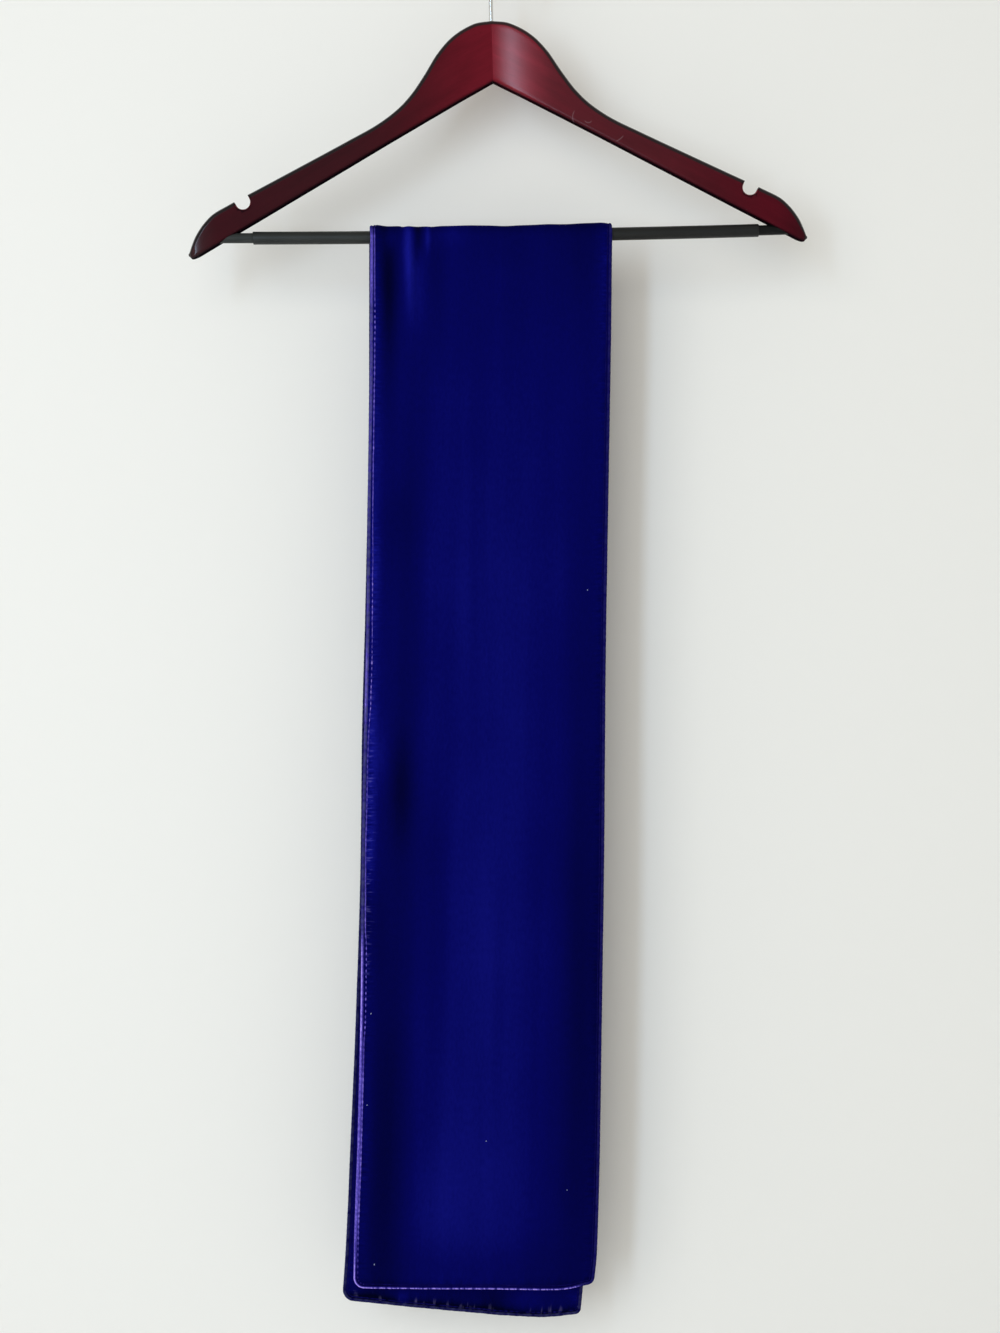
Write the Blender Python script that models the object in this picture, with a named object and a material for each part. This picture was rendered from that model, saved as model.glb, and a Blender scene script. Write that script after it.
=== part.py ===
"""Velvet scarf laid double over the trouser bar of a wooden hanger.

Metres, +Z up. The origin is where the hanger hangs: the underside of the hook's bend. +X runs along the
hanger, to the viewer's right, and -Y points from the scarf to the viewer.

The hanger is modelled in its own frame, with the top of the wood at its middle as origin, and is then
leant and tilted about the hook. The cloth hangs plumb from the bar, so it is worked out in world places.
"""

import math

import bmesh
import bpy
import numpy as np
from mathutils import Matrix

MM = 0.001

# A gap between pieces that touch
GAP = 0.3 * MM

# How the hanger hangs: the hook's underside is above the wood, the right end is high, the foot leans back
HOOK_ABOVE_WOOD = 62 * MM
TILT = math.radians(-1.65)
LEAN = math.radians(4.5)

# Wooden arms. Their middle line sweeps forward, steeply by the neck and less further out
UPPER_ROUND = 3.4 * MM
LOWER_ROUND = 2.0 * MM
SWEEP_OUTER = 0.085
SWEEP_NECK = 0.26
SWEEP_NECK_REACH = 30 * MM
ARM_COLUMNS = ("from_middle", "upper_edge", "lower_edge", "thickness")
ARM_ROWS = (
    (0.15, -0.8, -44.1, 12.0),
    (10.0, -2.4, -49.8, 12.0),
    (20.0, -6.8, -55.4, 12.0),
    (30.0, -13.8, -61.1, 12.0),
    (40.0, -24.8, -66.8, 12.0),
    (50.0, -40.2, -72.4, 12.0),
    (60.0, -54.0, -78.1, 12.0),
    (70.0, -64.2, -83.7, 12.0),
    (85.0, -75.0, -92.2, 12.0),
    (105.0, -85.7, -103.6, 12.0),
    (140.0, -103.7, -123.4, 12.0),
    (170.0, -119.0, -140.4, 12.0),
    (195.0, -131.7, -154.5, 12.0),
    (205.0, -137.3, -160.2, 12.0),
    (212.0, -144.0, -164.2, 11.8),
    (218.0, -152.4, -167.5, 11.0),
    (221.5, -159.6, -168.6, 8.6),
    (223.4, -164.6, -167.0, 4.6),
)
ARM_STATIONS = (
    0.15, 4, 8, 12, 16, 20, 24, 28, 32, 36, 40, 44, 48, 52, 56, 60, 65, 70, 77, 85, 95, 110, 130, 150,
    165, 174, 183, 192, 200, 206, 211, 215, 218, 220.2, 221.6, 222.7, 223.4,
)  # fmt: skip
CORNER_STEPS = 3
STEEPEST_EDGE = 1.6

# Strap notch: a half circle let into the upper edge, with walls that open out a little
NOTCH_FROM_MIDDLE = 183.4 * MM
NOTCH_HEIGHT = -129.2 * MM
NOTCH_RADIUS = 5.4 * MM
NOTCH_TURN = math.radians(27.5)
NOTCH_FLARE = 0.9 * MM
NOTCH_STEPS = 10
NOTCH_DEPTHS = (-60 * MM, 30 * MM)

# Trouser bar: its two ends in the arms, and how far its middle sags under the cloth
BAR_LEFT = -205 * MM
BAR_RIGHT = 213 * MM
BAR_LEFT_HEIGHT = -154.1 * MM
BAR_RIGHT_HEIGHT = -159.7 * MM
BAR_SAG = 1.5 * MM
BAR_RADIUS = 3.6 * MM
SLEEVE_RADIUS = 4.6 * MM
SLEEVE_LEFT = -177 * MM
SLEEVE_RIGHT = 189 * MM
BAR_SIDES = 16
BAR_STEPS = 14
HOLE_START = 150 * MM

# Hook: a straight wire that turns aside, runs round the loop and ends in a rounded tip
WIRE_RADIUS = 1.8 * MM
WIRE_SIDES = 10
HOOK_INSIDE_RADIUS = 18 * MM
HOOK_START = math.radians(-65)
HOOK_END = math.radians(198)
HOOK_ROOT = -16 * MM
HOOK_ARC_STEPS = 26
HOOK_TURN_STEPS = 8
TIP_ANGLES = (30, 60, 80)

# Scarf: two velvet panels, sewn round the edge, with the same outline
VELVET = 1.15 * MM
CORNER_RADIUS = 8 * MM

# Side edges of the two falls: how far below the bar, and where the left and right edges are
FALL_COLUMNS = ("drop", "left", "right")
FRONT_EDGES = (
    (0, -85.4, 89.2),
    (80, -85.7, 88.3),
    (200, -87.6, 86.4),
    (280, -88.4, 85.0),
    (340, -89.7, 84.3),
    (450, -91.7, 83.4),
    (550, -92.5, 81.9),
    (650, -94.7, 80.5),
    (735, -97.5, 78.2),
    (770, -98.0, 76.6),
)
BACK_EDGES = (
    (0, -87.3, 88.8),
    (90, -87.3, 88.0),
    (250, -89.5, 85.5),
    (360, -92.3, 82.6),
    (450, -93.3, 81.6),
    (550, -96.2, 79.0),
    (650, -100.4, 74.8),
    (740, -104.6, 70.5),
    (790, -108.6, 66.3),
)

# Hems: share of the way from the left edge to the right one, and how far the hem is below the bar
HEM_COLUMNS = ("across", "drop")
FRONT_HEM = (
    (0.0, 759.5),
    (0.3, 760.5),
    (0.6, 759.5),
    (0.85, 761.5),
    (1.0, 757.5),
)
BACK_HEM = (
    (0.0, 772.0),
    (0.33, 778.5),
    (0.5, 781.5),
    (0.7, 785.0),
    (0.85, 786.5),
    (1.0, 784.5),
)

# How far each fall swings away from plumb, outwards from the other fall
SWAY_COLUMNS = ("drop", "front", "back")
SWAY_ROWS = (
    (0, 0.0, 0.0),
    (60, -0.6, 0.3),
    (180, -1.8, -0.6),
    (340, -0.6, -1.8),
    (520, 1.2, -2.2),
    (680, 0.4, -0.8),
    (790, -0.8, 0.6),
)

# Soft folds by the bar, raised outwards: distance from the left edge, how far the fold wanders to the right
# per unit of drop, half width, height, the drop where it is highest (below nothing is the back), and reach
FOLD_COLUMNS = ("from_left", "wander", "half_width", "height", "highest_at", "reach")
FOLD_ROWS = (
    (4.0, 0.00, 5.5, 1.7, 60, 150),
    (15.0, 0.00, 7.5, 1.5, 0, 12),
    (29.5, 0.12, 5.5, 2.5, 18, 62),
    (41.5, 0.10, 3.4, 1.2, 10, 22),
    (70.0, -0.05, 11.0, 1.8, -45, 80),
    (128.0, 0.04, 9.0, 1.4, -30, 70),
    (168.0, 0.00, 7.0, 1.2, 70, 90),
)

# The cloth's grid: distances from the left edge, and drops down each fall in shares of its length
CLOTH_WIDTH = 175
ACROSS = (0, 4, 9, 15, 21, 26, 31, 36, 41, 47, 56, 70, 88, 108, 128, 148, 166, 175)
DOWN = (
    0.004, 0.016, 0.033, 0.055, 0.085, 0.125, 0.175, 0.235, 0.305, 0.38, 0.455, 0.53, 0.605, 0.68, 0.755,
    0.825, 0.89, 0.945,
)  # fmt: skip
CORNER_SHARES = (1.0, 0.55, 0.25, 0.08, 0.0)
BEND_STEPS = 9
BEND_DROP = 3 * MM


def clear_scene():
    """Start from an empty scene."""
    for thing in list(bpy.data.objects):
        bpy.data.objects.remove(thing, do_unlink=True)


def plain_material(name, colour, roughness, metallic=0.0):
    """A Principled material with one colour."""
    material = bpy.data.materials.new(name)
    material.use_nodes = True
    shader = material.node_tree.nodes["Principled BSDF"]
    shader.inputs["Base Color"].default_value = (*colour, 1.0)
    shader.inputs["Roughness"].default_value = roughness
    shader.inputs["Metallic"].default_value = metallic
    material.diffuse_color = (*colour, 1.0)
    return material


def column(rows, columns, name):
    """One named column of a table, as an array."""
    return np.array([row[columns.index(name)] for row in rows], dtype=float)


def smooth_through(places, knots, values):
    """A smooth curve through the knots that never overshoots them: cubic pieces whose slope at a knot is the
    harmonic mean of the slopes beside it, or level where those differ in sign."""
    step = np.diff(knots)
    slope = np.diff(values) / step
    before, after = slope[:-1], slope[1:]
    same_way = before * after > 0
    mean = np.where(same_way, 2 * before * after / np.where(same_way, before + after, 1), 0)
    tangent = np.concatenate([slope[:1], mean, slope[-1:]])
    places = np.clip(places, knots[0], knots[-1])
    cell = np.clip(np.searchsorted(knots, places, side="right") - 1, 0, len(step) - 1)
    share = (places - knots[cell]) / step[cell]
    start = values[cell] * (1 + 2 * share) * (1 - share) ** 2
    end = values[cell + 1] * share**2 * (3 - 2 * share)
    bend = share * (1 - share) * step[cell]
    return start + end + bend * (tangent[cell] * (1 - share) - tangent[cell + 1] * share)


def table_curve(rows, columns, name, places):
    """A named column of a table, smoothly, at places along its first column. All in metres."""
    knots = column(rows, columns, columns[0])
    return smooth_through(places / MM, knots, column(rows, columns, name)) * MM


def mesh_object(name, points, faces, material, sharp_degrees=40):
    """A mesh object, shaded smooth but for its sharp edges."""
    mesh = bpy.data.meshes.new(name)
    mesh.from_pydata([tuple(point) for point in points], [], faces)
    mesh.validate()
    work = bmesh.new()
    work.from_mesh(mesh)
    bmesh.ops.recalc_face_normals(work, faces=work.faces)
    work.to_mesh(mesh)
    work.free()
    mesh.shade_smooth()
    mesh.set_sharp_from_angle(angle=math.radians(sharp_degrees))
    mesh.materials.append(material)
    thing = bpy.data.objects.new(name, mesh)
    bpy.context.scene.collection.objects.link(thing)
    return thing


def ring_faces(rings, sides):
    """Faces of a skin over rings of points, with both ends capped."""
    faces = []
    for ring in range(rings - 1):
        for side in range(sides):
            near, far = ring * sides, (ring + 1) * sides
            turn = (side + 1) % sides
            faces.append((near + side, near + turn, far + turn, far + side))
    faces.append(tuple(range(sides)))
    faces.append(tuple(range((rings - 1) * sides, rings * sides)))
    return faces


def hanger_matrix():
    """From the hanger's own frame to the world: down to the wood, leant back, then tilted, about the hook."""
    down = Matrix.Translation((0, 0, -HOOK_ABOVE_WOOD))
    return Matrix.Rotation(TILT, 4, "Y") @ Matrix.Rotation(LEAN, 4, "X") @ down


def sweep(from_middle):
    """How far the arms' middle line is from the hook's plane: forward is negative."""
    near_neck = (SWEEP_NECK - SWEEP_OUTER) * SWEEP_NECK_REACH
    return -SWEEP_OUTER * from_middle - near_neck * (1 - np.exp(-from_middle / SWEEP_NECK_REACH))


def arm_section(upper, lower, thickness, slope):
    """One section across an arm: a rectangle with rounded corners, as offsets in depth and heights.
    The upper corners are drawn out where the edge is steep, so that they stay round across it."""
    stretch = math.hypot(1, slope)
    room = upper - lower
    half = thickness / 2
    upper_round = min(UPPER_ROUND, half * 0.9)
    lower_round = min(LOWER_ROUND, half * 0.6)
    upper_rise = min(upper_round * stretch, room * 0.5)
    lower_rise = min(lower_round * 1.15, room * 0.3)
    corners = (
        (half - upper_round, upper - upper_rise, upper_round, upper_rise, 0),
        (-half + upper_round, upper - upper_rise, upper_round, upper_rise, 90),
        (-half + lower_round, lower + lower_rise, lower_round, lower_rise, 180),
        (half - lower_round, lower + lower_rise, lower_round, lower_rise, 270),
    )
    section = []
    for depth, height, across, rise, start in corners:
        for step in range(CORNER_STEPS + 1):
            angle = math.radians(start + 90 * step / CORNER_STEPS)
            section.append((depth + across * math.cos(angle), height + rise * math.sin(angle)))
    return section


def arm(name, side, material):
    """One wooden arm, swept along its middle line. Side is -1 for the left and 1 for the right."""
    places = np.array(ARM_STATIONS) * MM
    upper = table_curve(ARM_ROWS, ARM_COLUMNS, "upper_edge", places)
    lower = table_curve(ARM_ROWS, ARM_COLUMNS, "lower_edge", places)
    thickness = table_curve(ARM_ROWS, ARM_COLUMNS, "thickness", places)
    slopes = np.gradient(upper, places)
    points = []
    for place, top, bottom, wide, slope in zip(places, upper, lower, thickness, slopes):
        middle = sweep(place)
        for depth, height in arm_section(top, bottom, wide, min(abs(slope), STEEPEST_EDGE)):
            points.append((side * place, middle + depth, height))
    sides = 4 * (CORNER_STEPS + 1)
    return mesh_object(name, points, ring_faces(len(places), sides), material)


def notch_cutter(side, material):
    """The strap notch's shape, right through the arm."""
    outline = []
    for step in range(NOTCH_STEPS + 1):
        angle = math.pi * (1 + step / NOTCH_STEPS)
        outline.append((NOTCH_RADIUS * math.cos(angle), NOTCH_RADIUS * math.sin(angle)))
    mouth = NOTCH_RADIUS + NOTCH_FLARE
    outline += [(mouth, 3 * NOTCH_RADIUS), (-mouth, 3 * NOTCH_RADIUS)]
    turn = NOTCH_TURN
    points = []
    for depth in NOTCH_DEPTHS:
        for along, out in outline:
            across = along * math.cos(turn) + out * math.sin(turn)
            height = -along * math.sin(turn) + out * math.cos(turn)
            points.append((side * (NOTCH_FROM_MIDDLE + across), depth, NOTCH_HEIGHT + height))
    cutter = mesh_object("notch_cutter", points, ring_faces(2, len(outline)), material)
    return cutter


def bar_centre(along):
    """The bar's axis in the hanger's frame, at distances along it: straight from end to end, with a sag that
    follows a parabola."""
    share = (along - BAR_LEFT) / (BAR_RIGHT - BAR_LEFT)
    height = BAR_LEFT_HEIGHT + share * (BAR_RIGHT_HEIGHT - BAR_LEFT_HEIGHT)
    depth = np.full_like(along, float(sweep(BAR_RIGHT)))
    return np.stack([along, depth, height - BAR_SAG * 4 * share * (1 - share)], axis=-1)


def bar_rings(start, end, radius, steps):
    """Rings round the bar's axis from start to end."""
    along = np.linspace(start, end, steps)
    angle = np.arange(BAR_SIDES) * 2 * math.pi / BAR_SIDES
    ring = np.stack([np.zeros_like(angle), np.cos(angle), np.sin(angle)], axis=-1) * radius
    return bar_centre(along)[:, None, :] + ring[None, :, :]


def bar_rod(name, start, end, radius, material):
    """A round rod along the bar's axis."""
    rings = bar_rings(start, end, radius, BAR_STEPS)
    return mesh_object(name, rings.reshape(-1, 3), ring_faces(BAR_STEPS, BAR_SIDES), material)


def bar_sleeve(material):
    """The sleeve on the bar: a tube that goes out along its outside and back along its bore."""
    outside = bar_rings(SLEEVE_LEFT, SLEEVE_RIGHT, SLEEVE_RADIUS, BAR_STEPS)
    bore = bar_rings(SLEEVE_LEFT, SLEEVE_RIGHT, BAR_RADIUS + GAP, BAR_STEPS)[::-1]
    rings = np.concatenate([outside, bore])
    count = len(rings)
    faces = ring_faces(count, BAR_SIDES)[:-2]
    for side in range(BAR_SIDES):
        last, turn = (count - 1) * BAR_SIDES, (side + 1) % BAR_SIDES
        faces.append((last + side, last + turn, turn, side))
    return mesh_object("bar_sleeve", rings.reshape(-1, 3), faces, material)


def hook_path():
    """The wire's middle line in the hanger's frame: a stem, a turn to the right, then the loop, which goes
    over the top from the lower right to the left. The loop's inside touches the hanging point."""
    loop = HOOK_INSIDE_RADIUS + WIRE_RADIUS
    centre = HOOK_ABOVE_WOOD - HOOK_INSIDE_RADIUS
    turn = -HOOK_START
    bend = loop * math.cos(turn) / (1 - math.cos(turn))
    stem_top = centre - (loop + bend) * math.sin(turn)
    path = [(0, HOOK_ROOT), (0, stem_top * 0.5)]
    for step in range(HOOK_TURN_STEPS):
        angle = turn * step / HOOK_TURN_STEPS
        path.append((bend * (1 - math.cos(angle)), stem_top + bend * math.sin(angle)))
    for step in range(HOOK_ARC_STEPS + 1):
        angle = HOOK_START + (HOOK_END - HOOK_START) * step / HOOK_ARC_STEPS
        path.append((loop * math.cos(angle), centre + loop * math.sin(angle)))
    return np.array(path)


def hook(material):
    """The wire hook: rings square to its middle line, with a rounded tip."""
    path = hook_path()
    ahead = np.gradient(path, axis=0)
    ahead /= np.linalg.norm(ahead, axis=1)[:, None]
    tip = np.radians(TIP_ANGLES)
    radii = np.concatenate([np.full(len(path), WIRE_RADIUS), WIRE_RADIUS * np.cos(tip)])
    path = np.concatenate([path, path[-1] + np.outer(WIRE_RADIUS * np.sin(tip), ahead[-1])])
    ahead = np.concatenate([ahead, np.repeat(ahead[-1:], len(tip), axis=0)])
    angle = np.arange(WIRE_SIDES) * 2 * math.pi / WIRE_SIDES
    out = np.stack([ahead[:, 1], np.zeros(len(path)), -ahead[:, 0]], axis=-1)
    centre = np.stack([path[:, 0], np.zeros(len(path)), path[:, 1]], axis=-1)
    depth = np.array([0.0, 1.0, 0.0])
    ring = np.cos(angle)[None, :, None] * out[:, None, :] + np.sin(angle)[None, :, None] * depth
    points = centre[:, None, :] + ring * radii[:, None, None]
    return mesh_object("hook", points.reshape(-1, 3), ring_faces(len(path), WIRE_SIDES), material)


def hook_hole(material):
    """The hole for the hook's root, shared by the two arms."""
    radius = WIRE_RADIUS + GAP / math.cos(math.pi / WIRE_SIDES)
    points = []
    for height in (HOOK_ROOT - GAP, 20 * MM):
        for side in range(WIRE_SIDES):
            angle = side * 2 * math.pi / WIRE_SIDES
            points.append((radius * math.cos(angle), radius * math.sin(angle), height))
    return mesh_object("hook_hole", points, ring_faces(2, WIRE_SIDES), material)


def cut(thing, cutter):
    """Cut the cutter's shape out of a thing, and keep the cutter as a wire guide that isn't a piece."""
    boolean = thing.modifiers.new("cut " + cutter.name, "BOOLEAN")
    boolean.operation = "DIFFERENCE"
    boolean.solver = "EXACT"
    boolean.object = cutter
    cutter.hide_render = True
    cutter.display_type = "WIRE"


def fold_height(from_left, drop):
    """How far the folds raise the cloth. Each is a soft ridge, bell-shaped across and along. Drop is positive
    on the front fall and negative on the back one."""
    raised = np.zeros(np.broadcast(from_left, drop).shape)
    for row in FOLD_ROWS:
        fold = dict(zip(FOLD_COLUMNS, row))
        middle = (fold["from_left"] + fold["wander"] * drop / MM) * MM
        across = (from_left - middle) / (fold["half_width"] * MM)
        along = (drop - fold["highest_at"] * MM) / (fold["reach"] * MM)
        raised += fold["height"] * MM * np.exp(-(across**2) - along**2)
    return raised


def bar_axis_in_world():
    """The bar's axis in world places, as three arrays."""
    points = bar_centre(np.linspace(SLEEVE_LEFT, SLEEVE_RIGHT, 60))
    turn = np.array(hanger_matrix())
    world = points @ turn[:3, :3].T + turn[:3, 3]
    return world[:, 0], world[:, 1], world[:, 2]


def fall_points(edges, hem, sway_name, facing, lift):
    """A fall's points, rows from the bar down and columns from left to right, lift away from the bar's axis.
    Facing is -1 for the front fall and 1 for the back one. Near the hem the sides turn in along a quarter
    circle, which rounds the corners."""
    bar_x, bar_y, bar_z = bar_axis_in_world()
    across = np.array(ACROSS) / CLOTH_WIDTH
    hem_drop = table_curve_share(hem, across)
    longest = hem_drop.max()
    rest = np.array(CORNER_SHARES) * CORNER_RADIUS / longest
    share = np.concatenate([np.array(DOWN), 1 - rest])[:, None]
    drop = share * hem_drop[None, :]
    to_hem = np.clip((1 - share) * longest, 0, CORNER_RADIUS)
    inset = CORNER_RADIUS - np.sqrt(CORNER_RADIUS**2 - (CORNER_RADIUS - to_hem) ** 2)
    left = table_curve(edges, FALL_COLUMNS, "left", drop) + inset
    right = table_curve(edges, FALL_COLUMNS, "right", drop) - inset
    x = left + across[None, :] * (right - left)
    raised = fold_height(across[None, :] * CLOTH_WIDTH * MM, -facing * drop)
    sway = table_curve(SWAY_ROWS, SWAY_COLUMNS, sway_name, drop)
    y = np.interp(x, bar_x, bar_y) + facing * (lift + raised + sway)
    z = np.interp(x, bar_x, bar_z) - drop
    return np.stack([x, y, z], axis=-1)


def table_curve_share(rows, shares):
    """A hem's drop in metres at shares of the way across."""
    knots = column(rows, HEM_COLUMNS, "across")
    return smooth_through(shares, knots, column(rows, HEM_COLUMNS, "drop")) * MM


def bend_points(lift):
    """The cloth's points over the bar, from the front to the back, on half circles round its axis."""
    bar_x, bar_y, bar_z = bar_axis_in_world()
    across = np.array(ACROSS) / CLOTH_WIDTH
    share = (np.arange(BEND_STEPS) / (BEND_STEPS - 1))[:, None]
    angle = math.pi * share
    front_left, front_right = FRONT_EDGES[0][1] * MM, FRONT_EDGES[0][2] * MM
    back_left, back_right = BACK_EDGES[0][1] * MM, BACK_EDGES[0][2] * MM
    left = front_left + share * (back_left - front_left)
    right = front_right + share * (back_right - front_right)
    x = left + across[None, :] * (right - left)
    raised = fold_height(across[None, :] * CLOTH_WIDTH * MM, (0.5 - share) * 2 * BEND_DROP)
    radius = lift + raised
    y = np.interp(x, bar_x, bar_y) - radius * np.cos(angle)
    z = np.interp(x, bar_x, bar_z) + radius * np.sin(angle)
    return np.stack([x, y, z], axis=-1)


def cloth_surface(lift):
    """One surface of the scarf, from the front hem over the bar to the back hem."""
    front = fall_points(FRONT_EDGES, FRONT_HEM, "front", -1, lift)[::-1]
    back = fall_points(BACK_EDGES, BACK_HEM, "back", 1, lift)
    return np.concatenate([front, bend_points(lift), back])


def grid_triangles(rows, columns, first, flip):
    """Two triangles for each cell of a grid, always split the same way, so that two panels stay parallel."""
    faces = []
    for row in range(rows - 1):
        for place in range(columns - 1):
            a = first + row * columns + place
            b, c, d = a + 1, a + columns + 1, a + columns
            pair = ((a, b, c), (a, c, d))
            faces += [face[::-1] for face in pair] if flip else pair
    return faces


def velvet_panel(name, lift, material):
    """A velvet panel: a wall between two surfaces, closed all round its edge."""
    inside, outside = cloth_surface(lift), cloth_surface(lift + VELVET)
    rows, columns = inside.shape[:2]
    count = rows * columns
    rim = [place for place in range(columns)]
    rim += [row * columns + columns - 1 for row in range(1, rows)]
    rim += [(rows - 1) * columns + place for place in range(columns - 2, -1, -1)]
    rim += [row * columns for row in range(rows - 2, 0, -1)]
    faces = grid_triangles(rows, columns, 0, False) + grid_triangles(rows, columns, count, True)
    for here, there in zip(rim, rim[1:] + rim[:1]):
        faces.append((here, count + here, count + there, there))
    points = np.concatenate([inside.reshape(-1, 3), outside.reshape(-1, 3)])
    return mesh_object(name, points, faces, material)


def build():
    """The whole part: the hanger, set in its stance, and the scarf over its bar."""
    clear_scene()
    velvet = plain_material("velvet", (0.012, 0.014, 0.12), 0.9)
    lacquer = plain_material("lacquered_wood", (0.11, 0.012, 0.018), 0.2)
    rubber = plain_material("sleeve_rubber", (0.03, 0.035, 0.035), 0.6)
    rod = plain_material("bar_paint", (0.03, 0.035, 0.033), 0.4)
    chrome = plain_material("hook_chrome", (0.8, 0.8, 0.8), 0.12, 1.0)

    stance = bpy.data.objects.new("hanger_stance", None)
    bpy.context.scene.collection.objects.link(stance)
    stance.matrix_world = hanger_matrix()

    hole = BAR_RADIUS + GAP / math.cos(math.pi / BAR_SIDES)
    left, right = arm("arm_left", -1, lacquer), arm("arm_right", 1, lacquer)
    root_hole = hook_hole(rod)
    left_hole = bar_rod("left_bar_hole", BAR_LEFT - GAP, -HOLE_START, hole, rod)
    right_hole = bar_rod("right_bar_hole", HOLE_START, BAR_RIGHT + GAP, hole, rod)
    left_notch, right_notch = notch_cutter(-1, rod), notch_cutter(1, rod)
    for piece, cutters in (
        (left, (root_hole, left_hole, left_notch)),
        (right, (root_hole, right_hole, right_notch)),
    ):
        for cutter in cutters:
            cut(piece, cutter)
    hanger = [left, right, root_hole, left_hole, right_hole, left_notch, right_notch]
    hanger.append(bar_rod("bar_core", BAR_LEFT, BAR_RIGHT, BAR_RADIUS, rod))
    hanger.append(bar_sleeve(rubber))
    hanger.append(hook(chrome))
    for piece in hanger:
        piece.parent = stance

    next_to_bar = SLEEVE_RADIUS + GAP
    velvet_panel("velvet_under", next_to_bar, velvet)
    velvet_panel("velvet_outer", next_to_bar + VELVET + GAP, velvet)


build()
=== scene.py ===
"""Looks of a velvet scarf laid double over the trouser bar of a wooden hanger.

Metres, +Z up. The origin is the underside of the hook's bend, +X runs along the hanger to the viewer's right
and -Y points from the scarf to the viewer. Lengths in tables are millimetres, and MM makes them metres.
"""

import math

import bpy
import numpy as np
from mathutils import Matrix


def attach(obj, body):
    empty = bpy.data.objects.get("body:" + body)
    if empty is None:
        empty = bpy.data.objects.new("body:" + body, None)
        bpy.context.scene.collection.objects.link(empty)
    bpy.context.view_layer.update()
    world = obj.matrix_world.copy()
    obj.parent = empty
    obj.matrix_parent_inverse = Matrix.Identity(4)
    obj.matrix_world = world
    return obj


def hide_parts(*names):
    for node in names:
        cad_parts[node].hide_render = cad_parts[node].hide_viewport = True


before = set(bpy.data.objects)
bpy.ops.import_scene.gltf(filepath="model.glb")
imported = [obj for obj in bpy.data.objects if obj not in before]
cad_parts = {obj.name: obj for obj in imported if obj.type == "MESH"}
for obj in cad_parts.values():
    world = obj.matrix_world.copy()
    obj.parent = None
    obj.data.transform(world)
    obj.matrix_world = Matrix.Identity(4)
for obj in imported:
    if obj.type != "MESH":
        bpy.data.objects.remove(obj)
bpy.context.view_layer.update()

MM = 0.001

# How the hanger hangs: the hook's underside is above the wood, the right end is high, the foot leans back
HOOK_ABOVE_WOOD = 62 * MM
TILT = math.radians(-1.65)
LEAN = math.radians(4.5)

# Wooden arms, whose middle line sweeps forward, steeply by the neck and less further out
UPPER_ROUND = 3.4 * MM
LOWER_ROUND = 2.0 * MM
SWEEP_OUTER = 0.085
SWEEP_NECK = 0.26
SWEEP_NECK_REACH = 30 * MM
ARM_COLUMNS = ("from_middle", "upper_edge", "lower_edge", "thickness")
ARM_ROWS = (
    (0.15, -0.8, -44.1, 12.0),
    (10.0, -2.4, -49.8, 12.0),
    (20.0, -6.8, -55.4, 12.0),
    (30.0, -13.8, -61.1, 12.0),
    (40.0, -24.8, -66.8, 12.0),
    (50.0, -40.2, -72.4, 12.0),
    (60.0, -54.0, -78.1, 12.0),
    (70.0, -64.2, -83.7, 12.0),
    (85.0, -75.0, -92.2, 12.0),
    (105.0, -85.7, -103.6, 12.0),
    (140.0, -103.7, -123.4, 12.0),
    (170.0, -119.0, -140.4, 12.0),
    (195.0, -131.7, -154.5, 12.0),
    (205.0, -137.3, -160.2, 12.0),
    (212.0, -144.0, -164.2, 11.8),
    (218.0, -152.4, -167.5, 11.0),
    (221.5, -159.6, -168.6, 8.6),
    (223.4, -164.6, -167.0, 4.6),
)
ARM_STATIONS = 190
CLOSER_TO_TIP = 1.35
TIP_REACH = 0.7 * MM
TIP_STEPS = 6
JOINT_GAP = 0.02 * MM
CORNER_STEPS = 8
FACE_SHARES = (0.05, 0.15, 0.3, 0.5, 0.7, 0.85, 0.95)
STEEPEST_EDGE = 1.6

# The stain and the gloss of each arm's faces, by distance from the middle. Stain is one where the wood is at
# its reddest and nothing where it is nearly black. The values are partly painted light: both arms are lighter
# by the neck, the right one much more, where the swept faces turn to the light, and the tip's end is nearly
# black as painted shade. Gloss is how much of the clear coat shows
STAIN_AND_LIGHT_COLUMNS = ("from_middle", "left", "right", "left_gloss", "right_gloss")
STAIN_AND_LIGHT_ROWS = (
    (0, 0.64, 0.84, 0.20, 0.25),
    (8, 0.60, 0.94, 0.20, 0.55),
    (14, 0.56, 1.00, 0.20, 0.74),
    (22, 0.51, 0.92, 0.20, 0.56),
    (32, 0.44, 0.70, 0.22, 0.42),
    (45, 0.34, 0.43, 0.24, 0.38),
    (65, 0.25, 0.37, 0.28, 0.42),
    (105, 0.15, 0.31, 0.34, 0.42),
    (150, 0.145, 0.305, 0.33, 0.24),
    (200, 0.15, 0.32, 0.28, 0.08),
    (213, 0.13, 0.24, 0.60, 0.10),
    (220, 0.12, 0.20, 1.00, 0.20),
    (223.2, 0.01, 0.01, 1.00, 0.60),
)

# The arms' rims are painted nearly black, as painted shade where the rounded rims turn from the light: the
# share of a rounded corner that this takes, and how far it goes. The upper rim is glossy and the lower one
# dull. Inside the notches and holes the wood has one look
UPPER_BAND = 0.14
LOWER_BAND = 0.95
UPPER_RIM_SHADE = 0.93
LOWER_RIM_SHADE = 0.95
UPPER_RIM_GLOSS = 0.9
CUT_LOOK = {"stain_light_and_shade": 0.25, "gloss": 0.3}

# The grain's map runs along the arm: how far it is stretched, and how steeply it slopes with the arm
GRAIN_STRETCH = 1.15
GRAIN_SLOPE = 0.55

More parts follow.
